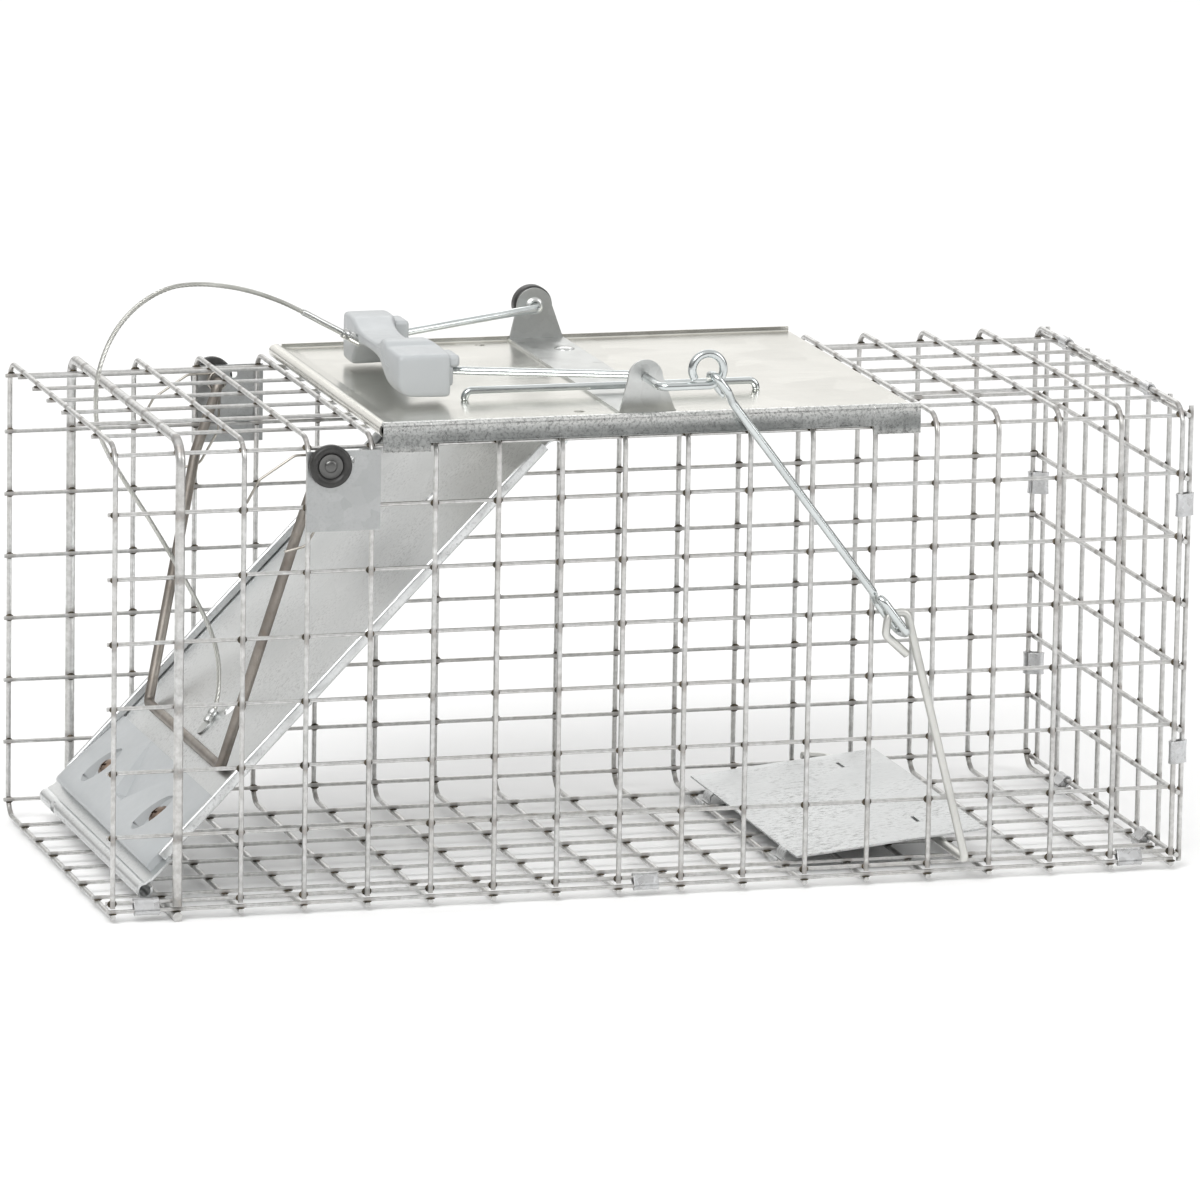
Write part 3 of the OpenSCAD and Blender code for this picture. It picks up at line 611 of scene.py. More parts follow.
def laid_cable(shape, path_mm, radius_mm, lay_mm=11.0, strands=6):
    """Strands laid round a core along a path."""
    core = radius_mm * 0.36
    strand = radius_mm * 0.345
    orbit = radius_mm - strand
    normal = None
    frames, run = [], 0.0
    for i, p in enumerate(path_mm):
        d = (path_mm[min(i + 1, len(path_mm) - 1)] - path_mm[max(i - 1, 0)]).normalized()
        normal = d.orthogonal().normalized() if normal is None else (normal - d * normal.dot(d)).normalized()
        run += (p - path_mm[i - 1]).length if i else 0.0
        frames.append((p, normal.copy(), d.cross(normal), run))
    shape.tube([f[0] for f in frames], core, 6)
    for s in range(strands):
        phase = 2 * math.pi * s / strands
        line = [p + orbit * (u * math.cos(phase + 2 * math.pi * r / lay_mm)
                             + v * math.sin(phase + 2 * math.pi * r / lay_mm)) for p, u, v, r in frames]
        shape.tube(line, strand, 6)
    return shape


def make_cable():
    whole = spline(CABLE_ROUTE, CABLE_STEPS)
    cut = CABLE_SPLIT * CABLE_STEPS
    parts = (("lift_cable_upper", whole[:cut + 1], "handle", 0),
             ("lift_cable_lower", whole[cut:], "door", -1))
    for name, path, body, held in parts:
        data = laid_cable(Shape(), [p / MM for p in path], CABLE_D / MM / 2).mesh(name)
        finish_mesh(data, 60)
        data.materials.append(MAT["cable"])
        obj = bpy.data.objects.new(name, data)
        scene.collection.objects.link(obj)
        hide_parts("lift_cable")
        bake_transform(obj)


make_cable()


# --- Cage: wires stay as CAD, with burnt weld beads where they cross ---

dress("long_wires", "long")
dress("hoop_wires", "hoop")
dress("door_frame_hoop", "hoop")
dress("rear_uprights", "upright")
dress("rear_crossbars", "crossbar")
for name in ("long_wires", "hoop_wires", "door_frame_hoop", "rear_uprights", "rear_crossbars"):
    finish_mesh(nodes[name].data, 40)


SEAM_WIRES = ((-ROW_Y, ROW_Z + 3.0), (-ROW_Y - 1.8, ROW_Z))
HOOPS, REAR_BARS = 18, 8
REAR_X = HALF + 3.21


def wire_rows():
    """Each long wire's centre with the direction out of the cage there."""
    rows = [((-ROW_Y, ROW_Z + FRONT_RISE - i * PITCH), (-1, 0)) for i in range(6)]
    rows += [((ROW_Y, ROW_Z + BACK_RISE - i * PITCH), (1, 0)) for i in range(6)]
    rows += [((TOP_ROW - i * PITCH, TOP_Z), (0, 1)) for i in range(6)]
    rows += [((FLOOR_ROW - i * PITCH, ROW_Z), (0, -1)) for i in range(6)]
    # Wires at three of the rounded corners, and the two that meet at the seam
    for side, level, angle in ((-1, 1, 40), (1, 1, 30), (1, -1, 22)):
        a = math.radians(angle)
        out = (side * math.cos(a), level * math.sin(a))
        mid_z = TOP_Z - BEND_R if level > 0 else ROW_Z + BEND_R
        rows.append(((side * (ROW_Y - BEND_R) + BEND_R * out[0], mid_z + BEND_R * out[1]), out))
    rows += [(SEAM_WIRES[0], (-1, 0)), (SEAM_WIRES[1], (0, -1))]
    return rows


def make_welds():
    beads = Shape()
    for i in range(HOOPS):
        x = i * PITCH - HALF
        for (y, z), (oy, oz) in wire_rows():
            out = Vector((0, oy, oz)).normalized()
            along = Vector((1, 0, 0))
            across = out.cross(along)
            size = random.uniform(0.9, 1.15)
            centre = Vector((x, y, z)) + out * 0.82
            beads.ball(centre, (1.75 * size, 1.5 * size, 0.42), 6, 10, (along, across, out))
    for row in range(REAR_BARS):
        for col in range(REAR_BARS):
            centre = (REAR_X, (col - 3.5) * PITCH, REAR_ROW_Z + row * PITCH)
            size = random.uniform(0.9, 1.15)
            beads.ball(centre, (0.42, 1.65 * size, 1.65 * size), 6, 10)
    piece("weld_beads", beads, MAT["weld"], "cage", smooth_angle=80)


make_welds()


def clip_band(shape, p, q, axis, width, wire_r, t=0.8):
    """Pressed clip closed round two wires: a band with a waist pinched between them and an overlapped end."""
    p, q = Vector(p), Vector(q)
    axis = Vector(axis).normalized()
    d = (q - p).normalized()
    side = axis.cross(d)
    gap = (q - p).length
    r = wire_r + t / 2 + 0.06

    def half_turn(start, x):
        return [(x + r * math.cos(a), r * math.sin(a)) for a in (start + math.pi * k / 12 for k in range(13))]

    line = half_turn(math.pi / 2, 0.0)
    line += [(gap * 0.30, -r * 0.97), (gap * 0.5, -r * 0.90), (gap * 0.70, -r * 0.97)]
    line += half_turn(-math.pi / 2, gap)
    line += [(gap * 0.72, r * 1.02), (gap * 0.45, r * 1.18), (gap * 0.10, r * 1.42)]
    loop = sheet_loop(line, t)
    steps = 8
    rings = []
    for i in range(steps + 1):
        s = -width / 2 + width * i / steps
        flare = 1.0 + 0.05 * abs(2 * i / steps - 1) ** 2
        rings.append([p + d * (gap / 2 + (a - gap / 2) * flare) + side * (b * flare) + axis * s
                      for a, b in loop])
    shape.loft(rings)


def make_clips():
    seam = Shape()
    for x in (-202.4, -1.5, 198.5):
        clip_band(seam, (x, *SEAM_WIRES[0]), (x, *SEAM_WIRES[1]), (1, 0, 0), 10, 0.8)
    piece("seam_clips_pressed", seam, MAT["clip"], "cage", ("seam_clips",), 50, 0.12)
    rear = Shape()
    out = 1.82
    for s, heights in ((-1, (48, 148)), (1, (46, 122))):
        for z in heights:
            upright = (HALF + 4.22, s * 3.5 * PITCH, z)
            clip_band(rear, (HALF, s * (ROW_Y + out), z), upright, (0, 0, -s), 9, 1.0)
    crossbar_x = HALF + 2.2
    for y in TOP_GAPS:
        highest = (crossbar_x, y, REAR_ROW_Z + 7 * PITCH)
        clip_band(rear, (HALF, y, TOP_Z + out), highest, (0, 1, 0), 9, 1.0)
    for y in FLOOR_GAPS:
        clip_band(rear, (HALF, y, ROW_Z - out), (crossbar_x, y, REAR_ROW_Z), (0, -1, 0), 9, 1.0)
    piece("rear_clips_pressed", rear, MAT["clip"], "cage", ("rear_clips",), 50, 0.12)
    hang = Shape()
    hoop_x = 7 * PITCH - HALF
    for y in TOP_GAPS:
        clip_band(hang, (hoop_x, y, TOP_Z + out), (HINGE.x, y, HINGE.z), (0, 1, 0), 9, 1.64, 0.6)
    piece("door_hangers_pressed", hang, MAT["clip"], "cage", ("door_hangers",), 50, 0.1)


make_clips()


# --- Top plate and handle bracket ---

def make_plate():
    plate = Shape()
    mid = PLATE_Z - PLATE_T / 2
    front = PLATE_F + PLATE_T / 2
    depth = [PLATE_B - 4 - (PLATE_B - 4 - front - 5) * k / 24 for k in range(25)]
    line = rounded([(PLATE_B - 0.45, PLATE_Z + 1.8), (PLATE_B - 0.45, mid), (depth[0], mid)], 0.9)
    line += [(y, mid) for y in depth[1:]] + rounded(
        [(front + 4.0, mid), (front + 3.1, mid), (front + 3.1, PLATE_Z + 0.9)], 0.6)
    loop = sheet_loop(line, PLATE_T)
    stations = [PLATE_L + 4.3 + (PLATE_R - PLATE_L - 4.3) * i / 40 for i in range(41)]
    plate.loft([[(x, a, b + 0.10 * noise.noise(Vector((x * 0.02, a * 0.02, 1.7)))) for a, b in loop]
                for x in stations])
    # Bead and flange along the front edge, deeper at both ends
    flange = Shape()
    arch = [(front + 1.55 + 1.55 * math.cos(math.radians(a)),
             PLATE_Z + 0.75 + 1.45 * math.sin(math.radians(a))) for a in range(0, 181, 15)]
    for x0, x1, low in ((PLATE_L, PLATE_L + 19, 9.2), (PLATE_L + 18.9, PLATE_R - 18.9, 5.8),
                        (PLATE_R - 19, PLATE_R, 9.2)):
        line = arch + [(front, PLATE_Z - low + 1.0), (front - 0.22, PLATE_Z - low)]
        spans = [x0 + (x1 - x0) * k / 24 for k in range(25)]
        flange.loft([[(x, a, b) for a, b in sheet_loop(line, PLATE_T)] for x in spans])
    piece("top_plate_flange", flange, MAT["flange"], "cage", (), 40, 0.18)
    # Lip folded down along the right edge
    lip = rounded([(PLATE_R - 6, mid - 0.02), (PLATE_R - 0.5, mid - 0.02), (PLATE_R - 0.5, mid - 1.3)], 0.5)
    plate.loft([[(a, y, b) for a, b in sheet_loop(lip, PLATE_T)] for y in (PLATE_F + 4, PLATE_B - 1)])
    # Rolled left edge: an open scroll
    centre = (PLATE_L + 2.1, PLATE_Z - 1.0)
    scroll = [(PLATE_L + 9, mid)]
    for k in range(31):
        a = math.radians(25 - k * 12.2)
        r = 2.62 - 0.010 * k
        scroll.append((centre[0] + r * math.cos(a), centre[1] + r * math.sin(a)))
    plate.loft([[(a, y, b) for a, b in sheet_loop(scroll, PLATE_T)]
                for y in (PLATE_F + 4 + (PLATE_B - PLATE_F - 4) * i / 12 for i in range(13))])
    holes = Shape()
    for s in (-1, 1):
        holes.lathe([(2.1, -4), (2.1, 4)], (-26.5, s * 73, PLATE_Z), (0, 0, 1), 24)
    piece("top_plate_sheet", plate, MAT["plate"], "cage", ("top_plate",), 40, 0.10, holes)


make_plate()
add_bevel(dress("handle_bracket", "bracket"), 0.25, 3)


def make_bracket_details():
    details = Shape()
    for s in (-1, 1):
        # Raised collar round the pivot hole, on the ear's inner face
        centre = (HANDLE_X, s * (EAR_Y - 0.6), HANDLE_Z)
        details.lathe([(1.78, 0.0), (1.78, 0.75), (2.1, 0.95), (2.7, 0.85), (3.4, 0.30), (3.7, 0.0)],
                      centre, (0, -s, 0), 32, caps=False)
    piece("pivot_collars", details, MAT["bracket"], "cage", smooth_angle=60)
    rivets = Shape()
    for y in (-54, 54):
        rivets.lathe([(0.01, 2.0), (1.6, 1.95), (3.0, 1.7), (4.0, 1.25), (4.2, 1.02), (4.2, 1.0), (2.0, 1.0),
                      (2.0, 0.0), (0.01, 0.0)], (3.5, y, PLATE_Z), (0, 0, 1), 36, caps=False)
    piece("bracket_rivet_heads", rivets, MAT["rivet"], "cage", ("bracket_rivets",), 50)
    foot, top, y = PLATE_Z + 0.05, PLATE_Z + 3.7, -41
    rod = Shape().tube(bent_path([(-64, y, foot), (-64, y, top), (55, y, top), (55, y, foot)], 3.0), 1.5, 18)
    piece("plate_guard_rod", rod, MAT["rod"], "cage", ("plate_rod",), 50)


make_bracket_details()


# --- Handle ---

def make_handle_wire():
    leg_z = 203
    body = bent_path([(HANDLE_X, EAR_Y + 4.4, HANDLE_Z), (HANDLE_X, EAR_Y - 5, HANDLE_Z),
                      (GRIP_X + 13, 42, leg_z), (GRIP_X, 39, leg_z), (GRIP_X, -39, leg_z),
                      (GRIP_X + 13, -42, leg_z),
                      (HANDLE_X, -75, HANDLE_Z), (HANDLE_X, ARM_Y, HANDLE_Z), (EYE_X, ARM_Y, HANDLE_Z)], 3.4)
    eye = [(EYE_X + EYE_R * math.sin(math.radians(a)), ARM_Y,
            HANDLE_Z + EYE_R - EYE_R * math.cos(math.radians(a))) for a in range(9, 307, 9)]
    wire = Shape().tube(body + [Vector(p) for p in eye], ROD_R, 22)
    piece("handle_wire_bent", wire, MAT["rod"], "handle", ("handle_wire",), 50)


make_handle_wire()

# Grip sections along Y: y, outer x, inner x, top z, outer bottom z, inner bottom z, corner radius and the
# outer bottom corner's radius
GRIP_SECTIONS = [
    (-48.4, -91.2, -73.0, 209.4, 195.2, 195.0, 1.4, 4.0),
    (-48.0, -92.4, -71.8, 210.4, 194.3, 194.0, 1.8, 5.2),
    (-46.6, -93.0, -71.2, 210.9, 193.8, 193.4, 2.0, 6.0),
    (-36.0, -93.2, -71.0, 211.2, 193.8, 193.2, 2.0, 6.2),
    (-31.5, -93.4, -71.0, 211.4, 194.2, 193.4, 2.0, 6.2),
    (-30.5, -93.4, -71.4, 211.6, 195.0, 193.8, 2.0, 5.6),
    (-29.4, -93.4, -73.0, 212.9, 196.0, 195.0, 2.0, 5.0),
    (-25.0, -93.4, -74.4, 213.4, 199.2, 197.2, 2.0, 4.0),
    (-21.5, -93.2, -75.0, 213.2, 202.0, 198.2, 2.0, 3.0),
    (-20.2, -93.0, -75.4, 211.9, 203.0, 198.5, 2.0, 2.4),
    (-14.0, -92.6, -75.8, 209.8, 204.2, 198.7, 1.8, 1.8),
    (-4.0, -92.2, -75.8, 208.9, 204.6, 198.8, 1.8, 1.6),
    (8.0, -92.0, -75.8, 208.7, 204.5, 198.8, 1.8, 1.6),
    (18.0, -91.8, -75.6, 209.3, 203.4, 198.6, 1.8, 1.8),
    (24.0, -91.6, -75.0, 210.6, 200.4, 197.8, 1.8, 2.0),
    (28.2, -91.4, -74.6, 211.7, 195.6, 196.4, 1.9, 2.0),
    (30.2, -91.4, -73.6, 212.2, 193.4, 194.0, 2.0, 2.0),
    (32.0, -91.2, -72.6, 212.3, 192.9, 193.0, 2.0, 2.0),
    (44.0, -90.8, -72.2, 212.1, 192.9, 192.9, 2.0, 2.0),
    (47.2, -90.2, -72.6, 211.7, 193.2, 193.2, 1.9, 1.9),
    (48.4, -88.8, -74.0, 210.2, 194.6, 194.6, 1.4, 1.4),
]


def grip_ring(y, x0, x1, top, low0, low1, r, r_low):
    corners = ((x0, top, 1, -1, r, 180), (x1, top, -1, -1, r, 90), (x1, low1, -1, 1, r, 0),
               (x0, low0, 1, 1, r_low, -90))
    ring = []
    for x, z, sx, sz, radius, start in corners:
        for step in range(5):
            a = math.radians(start - step * 22.5)
            ring.append((x + sx * radius + radius * math.cos(a), y, z + sz * radius + radius * math.sin(a)))
    return ring


def make_grip():
    grip = Shape().loft([grip_ring(*s) for s in GRIP_SECTIONS])
    obj = piece("handle_grip_moulded", grip, MAT["plastic"], "handle", ("handle_grip",), 180)
    modifier = obj.modifiers.new("round", "SUBSURF")
    modifier.levels = modifier.render_levels = 1
    # Sockets that the handle's legs enter, and the lip over the front one
    ends = Shape()
    ends.box((-73.5, 33.0, 196.4), (-66.6, 47.0, 209.4))
    ends.box((-73.5, -46.6, 204.9), (-67.4, -32.6, 209.9))
    ends.box((-73.5, -46.2, 197.4), (-69.8, -35.6, 206.0))
    piece("grip_sockets", ends, MAT["plastic"], "handle", (), 40, 1.5)
    # Parting line left by the mould along both long sides
    seam = Shape()
    for side, column in ((-1, 1), (1, 2)):
        line = [(s[column] + side * 0.02, s[0], (s[3] + s[4 if side < 0 else 5]) / 2 + 1.5)
                for s in GRIP_SECTIONS[3:-3]]
        seam.tube(spline(line, 3), 0.13, 6)
    piece("grip_parting_line", seam, MAT["plastic"], "handle", smooth_angle=60)


make_grip()


def push_cap(shape, disc, origin, axis, r, depth):
    """Rubber cap with a dished face, and the pressed steel nut that holds it."""
    shape.lathe([(r * 0.22, 0.0), (r - 0.9, 0.0), (r - 0.2, 0.35), (r, 1.0), (r, depth - 1.1),
                 (r - 0.35, depth - 0.35), (r - 1.1, depth), (r - 2.2, depth - 0.1), (r * 0.62, depth - 0.9),
                 (r * 0.58, depth - 1.6), (r * 0.22, depth - 1.7)], origin, axis, 56, caps=False)
    disc.lathe([(0.01, depth - 0.55), (r * 0.16, depth - 0.5), (r * 0.27, depth - 0.8),
                (r * 0.30, depth - 1.15), (r * 0.44, depth - 1.3), (r * 0.56, depth - 1.15),
                (r * 0.56, depth - 1.5),
                (r * 0.24, depth - 1.66), (0.01, depth - 1.66)], origin, axis, 40, caps=False)


def make_caps():
    lock_end = SIDE_PLATE_Y + 1.25
    for node, origin, axis, r, depth, body, nut in (
            ("handle_cap", (HANDLE_X, EAR_Y + 0.9, HANDLE_Z), (0, 1, 0), 8.0, 6.0, "handle", "rivet"),
            ("lock_cap_front", (LOCK.x, -lock_end, LOCK.z), (0, -1, 0), 8.4, 3.8, "lock", "nut"),
            ("lock_cap_back", (LOCK.x, lock_end, LOCK.z), (0, 1, 0), 8.4, 3.8, "lock", "nut")):
        rubber, disc = Shape(), Shape()
        push_cap(rubber, disc, origin, axis, r, depth)
        piece(node + "_rubber", rubber, MAT["rubber"], body, (node,), 50)
        piece(node + "_nut", disc, MAT[nut], body, (), 40)


make_caps()


# --- Trigger rod and trip rod ---

# The trigger rod runs from the top of the handle's eye to the hook of the trip rod. Its lower loop is turned
# about the rod, and half, end and eye give the loops' half-width, reach and length.
RING_C = Vector((EYE_X, ARM_Y, HANDLE_Z + EYE_R))
LINK_LOW = Vector((97.32, -98.6, 106.0))
LINK = {"turn": 81.0, "half": 4.4, "end": 3.4, "low_end": 3.94, "eye": 11.93}
LINK_TOP = RING_C + Vector((LINK_LOW.x - RING_C.x, 0, LINK_LOW.z - RING_C.z)).normalized() * EYE_R
link_dir = (LINK_LOW - LINK_TOP).normalized()
link_len = (LINK_LOW - LINK_TOP).length
link_flat = Vector((0, 1, 0)).cross(link_dir).normalized()
link_side = (link_flat * math.cos(math.radians(LINK["turn"]))
             + link_dir.cross(link_flat) * math.sin(math.radians(LINK["turn"])))


def link_at(s, q):
    return LINK_TOP + link_dir * s + link_side * q


def make_links():
    a, e, b = 3.9, LINK["end"], LINK["half"]
    low, n = link_len, LINK["eye"]
    low_end = low + LINK["low_end"]
    points = [link_at(7.6, 2.4), link_at(5.4, a), link_at(-e, a), link_at(-e, -a), link_at(4.6, -a),
              link_at(10.5, 0), link_at(low - n - 5.5, 0), link_at(low - n, b), link_at(low_end, b),
              link_at(low_end, -b), link_at(low - n - 0.8, -b), link_at(low - n - 3, -2.4)]
    rod = Shape().tube(bent_path(points, 3.2), ROD_R, 20)
    piece("trigger_rod_bent", rod, MAT["rod"], "trigger_link", ("trigger_rod",), 50)
    y = LINK_LOW.y
    points = [(101.6, y, 94.0), (92.4, y, 102.4), (93.4, y, 110.3), (101.0, y, 111.7), (103.5, y, 102),
              (127.6, y, 10.27), (127.6, 83.4, 11.47), (116, 83.4, 12.87)]
    rod = Shape().tube(bent_path(points, 3.2), ROD_R, 20)
    piece("trip_rod_bent", rod, MAT["trip"], "pan", ("trip_rod",), 50)


make_links()


# --- Trip pan ---

def make_pan():
    hinge = Vector((63.5, 0, 2.8))
    tilt = Matrix.Rotation(math.radians(-5.8), 3, "Y")
    lift, t = 4.22, 0.8
    start, length, mid_y, half_w = 3.6, 79.0, 3, 73.5
    columns, rows = 40, 74
    tab_rows = (-42, 58)
    pan = Shape()

    def place(x, y, z):
        return hinge + tilt @ Vector((x, y, z))

    def wave(x, y):
        edge = max(0.0, abs(y - mid_y) / half_w - 0.9) * 6.0
        return 0.35 * noise.noise(Vector((x * 0.035, y * 0.03, 4.2))) + 0.12 * edge * noise.noise(
            Vector((x * 0.09, y * 0.09, 8.1)))

    xs = [start + length * i / columns for i in range(columns + 1)]
    ys = [mid_y - half_w + 2 * half_w * j / rows for j in range(rows + 1)]
    for z in (lift, lift + t):
        pan.loft([[place(x, y, z + wave(x, y)) for y in ys] for x in xs], closed=False, cap=False)
    stride = (columns + 1) * (rows + 1)
    rim = ([(0, j) for j in range(rows + 1)] + [(i, rows) for i in range(1, columns + 1)]
           + [(columns, j) for j in range(rows - 1, -1, -1)] + [(i, 0) for i in range(columns - 1, 0, -1)])
    index = [i * (rows + 1) + j for i, j in rim]
    pan.faces += [(a, b, b + stride, a + stride) for a, b in zip(index, index[1:] + index[:1])]
    slits = Shape()
    for y in tab_rows:
        corners = [(61.5, y - 4.5), (62.9, y - 4.5), (62.9, y + 4.5), (61.5, y + 4.5)]
        slits.loft([[place(x, yy, z) for x, yy in corners] for z in (lift - 2, lift + 4)])
    piece("trip_pan_sheet", pan, MAT["pan"], "pan", ("trip_pan",), 35, 0.1, slits)
    # Curls that turn on the hoop wire, and tabs pressed down behind the slits
    curls = Shape()
    for y in FLOOR_GAPS:
        line = [(4.6, lift + t / 2), (3.4, lift + t / 2 - 0.15), (2.2, lift - 0.9), (1.9, 1.6)]
        line += [(1.5 * math.cos(math.radians(a)), 1.5 * math.sin(math.radians(a)))
                 for a in range(45, -266, -15)]
        curls.loft([[place(a, y + s, b) for a, b in sheet_loop(line, t * 0.82)]
                    for s in (-4.5, -1.5, 1.5, 4.5)])
    for y in tab_rows:
        line = [(58.9, lift + 0.3), (60.2, lift - 0.1), (61.6, lift - 1.0)]
        curls.loft([[place(a, y + s, b) for a, b in sheet_loop(line, 0.7)] for s in (-4.4, 4.4)])
    piece("trip_pan_curls", curls, MAT["pan"], "pan", (), 50)


make_pan()


# --- Door ---

def on_door(u, y, w):
    """Place in the row frame of a point u down the door, y across it toward the front, w out of its face."""
    return HINGE + Vector((-u * math.cos(SLOPE) - w * math.sin(SLOPE), -y,
                           -u * math.sin(SLOPE) + w * math.cos(SLOPE)))


def make_door():
    door = Shape()
    half = DOOR_W / 2

    def ripple(u, y):
        return 0.25 * noise.noise(Vector((u * 0.02, y * 0.025, 2.3)))

    # Cross-section: a flat web with lips turned up, each hemmed back on itself
    side = rounded([(half - 0.45, 3.0), (half - 0.45, 0.0), (half - 12, 0.0)], 0.8)
    hem = [(half - 1.75, 1.2), (half - 1.75, 3.0)] + [
        (half - 1.1 + 0.65 * math.cos(math.radians(a)), 3.1 + 0.65 * math.sin(math.radians(a)))
        for a in (160, 120, 90, 60, 20)] + side
    middle = [(half - 12 - (2 * half - 24) * k / 16, 0.0) for k in range(1, 16)]
    line = hem + middle + [(-a, b) for a, b in reversed(hem)]
    loop = sheet_loop(line, DOOR_T)
    stations = [6.2 + (DOOR_LEN - 14 - 6.2) * i / 48 for i in range(49)]
    door.loft([[on_door(u, a, b + ripple(u, a)) for a, b in loop] for u in stations])
    # Upper edge rolled round the hinge rod, cut away for the hangers
    barrel = [(7.5, 0.0), (4.2, 0.0), (2.9, -0.55)]
    barrel += [(1.98 * math.cos(math.radians(a)), 1.98 * math.sin(math.radians(a)))
               for a in range(-35, -326, -15)]
    for y0, y1 in ((-75, -59.6), (-47.6, 42), (54, 75)):
        door.loft([[on_door(a, y, b) for a, b in sheet_loop(barrel, 0.58)] for y in (y0, y1)])
    # Lower edge rolled into a tube, open at the ends
    roll = [(DOOR_LEN - 16, 0.0), (DOOR_LEN - 5, 0.35), (DOOR_LEN - 3.2, 1.1)]
    roll += [(DOOR_LEN + 2.75 * math.cos(math.radians(a)), -0.6 + 2.75 * math.sin(math.radians(a)))
             for a in range(140, -171, -12)]
    spans = [-84 + 168 * i / 20 for i in range(21)]
    door.loft([[on_door(a, y, b) for a, b in sheet_loop(roll, DOOR_T)] for y in spans])
    # Punched holes, notches for the hangers and the slot near the front lip
    cuts = Shape()
    for u, y, r in ((163, 13, 3.5), (49, 16, 2.5), (DOOR_LEN + 2.4, -62, 3.0)):
        origin = on_door(u, y, -6)
        cuts.lathe([(r, 0), (r, 12)], origin, on_door(u, y, 6) - origin, 28)
    for y in TOP_GAPS:
        corners = [(-4, -y - 6), (6.6, -y - 6), (6.6, -y + 6), (-4, -y + 6)]
        cuts.loft([[on_door(u, yy, w) for u, yy in corners] for w in (-4, 4)])
    slot = [(84.5, 67.5), (110.5, 67.5), (110.5, 73), (84.5, 73)]
    cuts.loft([[on_door(u, y, w) for u, y in slot] for w in (-3, 3)])
    piece("door_sheet", door, MAT["door"], "door", ("door_panel",), 40, 0.08, cuts)


make_door()
dress("door_hinge_rod", "rod")
finish_mesh(nodes["door_hinge_rod"].data, 40)


def strike_height(u):
    """Height of the moulded block's face above the door."""
    stops = [(STRIKE_U, 1.6), (222.0, 6.6), (STRIKE_END - 1, 7.0), (STRIKE_END, 5.6)]
    for (u0, h0), (u1, h1) in zip(stops, stops[1:]):
        if u <= u1:
            return h0 + (h1 - h0) * (u - u0) / (u1 - u0)
    return stops[-1][1]


def make_striker():
    block = Shape()
    face = DOOR_T / 2 + 0.02
    # The face falls away toward both sides
    fall = {77.4: 0.50, 76.8: 0.58, 70.5: 0.90, 66.5: 1.0}
    ys = [-y for y in fall] + [-62 + 124 * k / 30 for k in range(31)] + sorted(fall)
    us = [STRIKE_U, 194.2, 198, 203, 208, 213, 218, 222, 226, 229.4, 230.4, STRIKE_END]
    rings = []
    for y in ys:
        share = fall.get(abs(y), 1.0)
        top = [(u, face + (strike_height(u) - face) * share) for u in us]
        rings.append([on_door(u, y, w) for u, w in [(STRIKE_U, face)] + top + [(STRIKE_END, face)]])
    block.loft(rings)
    cuts = Shape()
    notch = [(STRIKE_U - 3, -31), (STRIKE_U - 3, 31), (216.5, 4.2), (216.5, -4.2)]
    top = [(STRIKE_U - 3, -39), (STRIKE_U - 3, 39), (220, 8.5), (220, -8.5)]
    cuts.loft([[on_door(u, y, 1.5) for u, y in notch], [on_door(u, y, 8.4) for u, y in top]])
    for s in (-1, 1):
        rings = []
        for w, grow in ((2.0, -1.6), (2.5, -0.7), (6.6, 0.4), (9.0, 1.4)):
            rings.append([on_door(SCREW_U + (10.2 + grow) * math.cos(a),
                                  s * SCREW_Y + (7.0 + grow) * math.sin(a), w)
                          for a in (2 * math.pi * k / 32 for k in range(32))])
        cuts.loft(rings)
    piece("striker_moulded", block, MAT["plastic"], "door", ("striker",), 32, 0.35, cuts)
    make_striker_screws()


def make_striker_screws():
    screws, recess = Shape(), Shape()
    c, sn = math.cos(math.radians(20)), math.sin(math.radians(20))
    quarter = [(2.4, -0.5), (2.4, 0.5), (0.5, 0.5)]
    cross = quarter + [(-b, a) for a, b in quarter] + [(-a, -b) for a, b in quarter] + [
        (b, -a) for a, b in quarter]
    for s in (-1, 1):
        origin = on_door(SCREW_U, s * SCREW_Y, 2.05)
        axis = on_door(SCREW_U, s * SCREW_Y, 10) - origin
        screws.lathe([(0.01, 0.0), (5.0, 0.0), (5.0, 0.5), (4.3, 0.7), (4.1, 1.0), (3.5, 1.9), (2.3, 2.5),
                      (1.0, 2.75), (0.01, 2.8)], origin, axis, 36)
        recess.loft([[on_door(SCREW_U + a * c - b * sn, s * SCREW_Y + a * sn + b * c, w) for a, b in cross]
                     for w in (3.6, 7.0)])
    piece("striker_screw_heads", screws, MAT["screw"], "door", ("striker_screws",), 40,
          0.05, recess)


def make_cable_end():
    foot = Shape()
    centre = (174.7, 6)
    pad = [on_door(centre[0] + 4.4 * math.cos(a), centre[1] + 3.4 * math.sin(a), 0.5)
           for a in (2 * math.pi * k / 24 for k in range(24))]
    normal = on_door(0, 0, 1) - on_door(0, 0, 0)
    foot.loft([pad, [p + normal * 0.8 for p in pad]])
    before, end = (Vector(p) / MM for p in CABLE_ROUTE[-2:])
    direction = (end - before).normalized()
    foot.lathe([(1.0, -5.6), (1.75, -5.2), (1.9, -4.4), (1.8, -2.9), (1.55, -2.5), (1.9, -2.0), (1.9, 0.2),
                (1.6, 0.6), (0.9, 0.7)], end, direction, 20)
    piece("cable_end_ferrule", foot, MAT["rivet"], "door", ("cable_stop",), 50, 0.1)


make_striker()
make_cable_end()


# --- Lock bar, its plates and springs ---

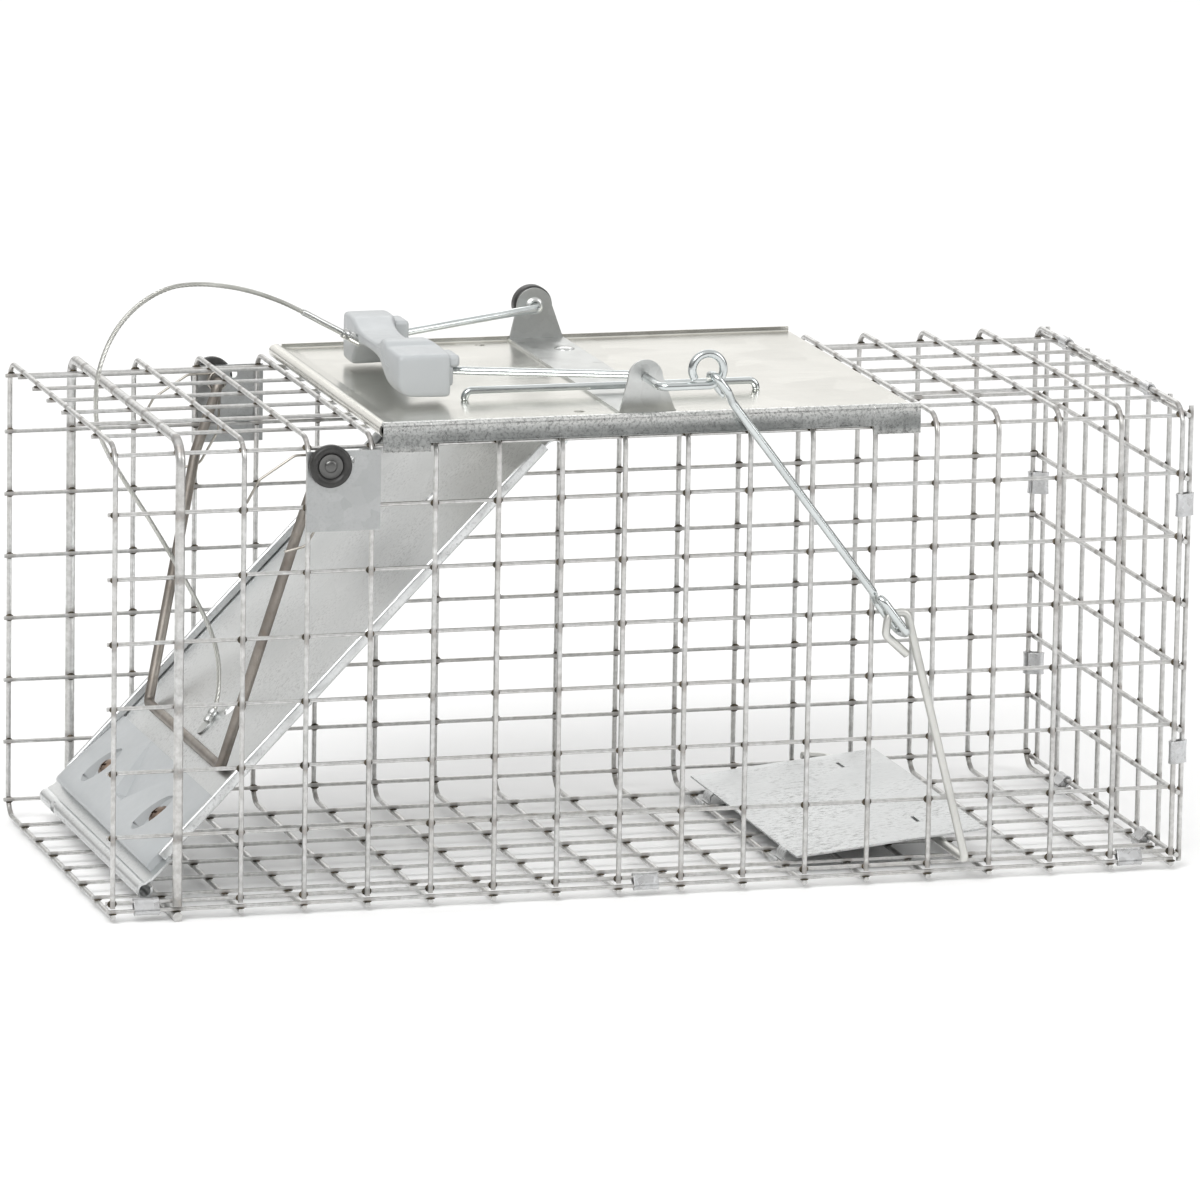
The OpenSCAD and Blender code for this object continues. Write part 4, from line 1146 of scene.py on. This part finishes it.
def make_lock():
    end = SIDE_PLATE_Y + 4.0
    knee_x, knee_z = -141.5, 150
    foot = on_door(183, 0, BAR_R + DOOR_T / 2 + 0.25)
    points = [(LOCK.x, -end, LOCK.z), (LOCK.x, -LOCK_Y, LOCK.z), (knee_x, -LOCK_Y, knee_z),
              (foot.x, -FOOT_Y, foot.z), (foot.x, FOOT_Y, foot.z), (knee_x, LOCK_Y, knee_z),
              (LOCK.x, LOCK_Y, LOCK.z), (LOCK.x, end, LOCK.z)]
    bar = Shape().tube(bent_path(points, 3.5), BAR_R, 22)
    piece("lock_bar_bent", bar, MAT["bar"], "lock", ("lock_bar",), 50)
    for node in ("side_plate_front", "side_plate_back"):
        add_bevel(dress(node, "side_plate"), 0.2, 2)
    coils, arms = Shape(), Shape()
    wire_r, coil_r, coil_y, turns = 0.5, 3.6, 86.7, 3
    for s in (-1, 1):
        line = []
        for k in range(turns * 24 + 1):
            a = 2 * math.pi * k / 24 + math.pi * 0.72
            line.append(Vector((LOCK.x + coil_r * math.cos(a), s * (coil_y - 1.05 + 2.1 * k / (turns * 24)),
                                LOCK.z + coil_r * math.sin(a))))
        coils.tube(line, wire_r, 10)
        y = s * coil_y
        leg = bent_path([(LOCK.x - 1.8, y, LOCK.z + 3.1), (LOCK.x - 12, y, LOCK.z + 3),
                         (LOCK.x - 26, y, LOCK.z - 6), (LOCK.x - 31, y, LOCK.z - 15)], 4.0)
        coils.tube(leg, wire_r, 10)
        y = s * 85.55
        arm = bent_path([(LOCK.x + 1, y, LOCK.z - 5.2), (LOCK.x + 0.5, y, LOCK.z - 20),
                         (LOCK.x - 7.0, y, LOCK.z - 33), (LOCK.x - 15.5, y, LOCK.z - 35)], 4.0)
        arms.tube(arm, wire_r, 10)
    piece("spring_coils_wound", coils, MAT["spring"], "cage", ("spring_coils",), 60)
    piece("spring_arms_bent", arms, MAT["spring"], "lock", ("spring_arms",), 60)


make_lock()


def make_sleeve():
    """Ferrule in the grip, and the thin sleeve that follows the cable's first 19 mm."""
    start, after = (Vector(p) / MM for p in CABLE_ROUTE[:2])
    direction = (after - start).normalized()
    sleeve = Shape().lathe([(0.96, 0.0), (1.9, -0.3), (2.0, -1.0), (2.0, -2.6), (1.75, -3.0), (1.75, -3.6),
                            (2.0, -4.0), (2.0, -9.0), (0.96, -9.0)], start, direction, 28, caps=False)
    run = [p / MM for p in spline(CABLE_ROUTE, CABLE_STEPS)]
    sleeve.tube([p for k, p in enumerate(run) if path_length(run[:k + 1]) < 19.0], 1.3, 16)
    piece("cable_sleeve_crimped", sleeve, MAT["rivet"], "handle", ("cable_sleeve",), 50)


make_sleeve()


# --- Studio ---

def make_floor():
    far = 40
    data = bpy.data.meshes.new("studio_floor")
    data.from_pydata([(-far, -far, 0), (far, -far, 0), (far, far, 0), (-far, far, 0)], [], [(0, 1, 2, 3)])
    n = Nodes("studio_floor")
    base = n.ramp(n.noise(0.4, 2.0), [(0.3, (0.93, 0.93, 0.93)), (0.7, (0.95, 0.95, 0.95))])
    data.materials.append(n.finish(base, 0.0, 0.9, Specular_IOR_Level=0.1))
    floor = bpy.data.objects.new("studio_floor", data)
    scene.collection.objects.link(floor)


def make_light(name, location, target, size, watts, colour=(1, 1, 1)):
    data = bpy.data.lights.new(name, "AREA")
    data.shape, data.size, data.size_y = "RECTANGLE", size[0], size[1]
    data.energy = watts
    data.color = colour
    obj = bpy.data.objects.new(name, data)
    obj.location = location
    obj.rotation_euler = (Vector(target) - Vector(location)).to_track_quat("-Z", "Y").to_euler()
    scene.collection.objects.link(obj)


def make_world():
    """Grey surround that brightens upward; only reflections and soft light show it."""
    world = bpy.data.worlds.new("studio")
    scene.world = world
    world.use_nodes = True
    tree = world.node_tree
    background = tree.nodes["Background"]
    coord = tree.nodes.new("ShaderNodeTexCoord")
    split = tree.nodes.new("ShaderNodeSeparateXYZ")
    ramp = tree.nodes.new("ShaderNodeValToRGB")
    tree.links.new(coord.outputs["Generated"], split.inputs[0])
    tree.links.new(split.outputs["Z"], ramp.inputs[0])
    stops = [(0.0, 0.10), (0.10, 0.16), (0.34, 0.42), (0.62, 0.85)]
    elements = ramp.color_ramp.elements
    while len(elements) < len(stops):
        elements.new(0.5)
    for element, (position, grey) in zip(elements, stops):
        element.position = position
        element.color = (grey, grey, grey * 0.995, 1.0)
    tree.links.new(ramp.outputs[0], background.inputs["Color"])
    background.inputs["Strength"].default_value = 1.0


make_floor()
make_world()
make_light("key", (-1.2, -1.6, 2.0), (0, 0, 0.1), (1.6, 1.2), 42)
make_light("fill", (1.9, -1.2, 1.1), (0, 0, 0.1), (1.2, 1.2), 14)
make_light("rim", (0.4, 2.0, 1.6), (0, 0, 0.1), (1.8, 0.8), 8)
make_light("back_softbox", (0.3, 3.4, 1.05), (0, 0, 0.15), (4.4, 1.5), 14, (1.0, 0.99, 0.965))
scene.view_settings.view_transform = "Standard"
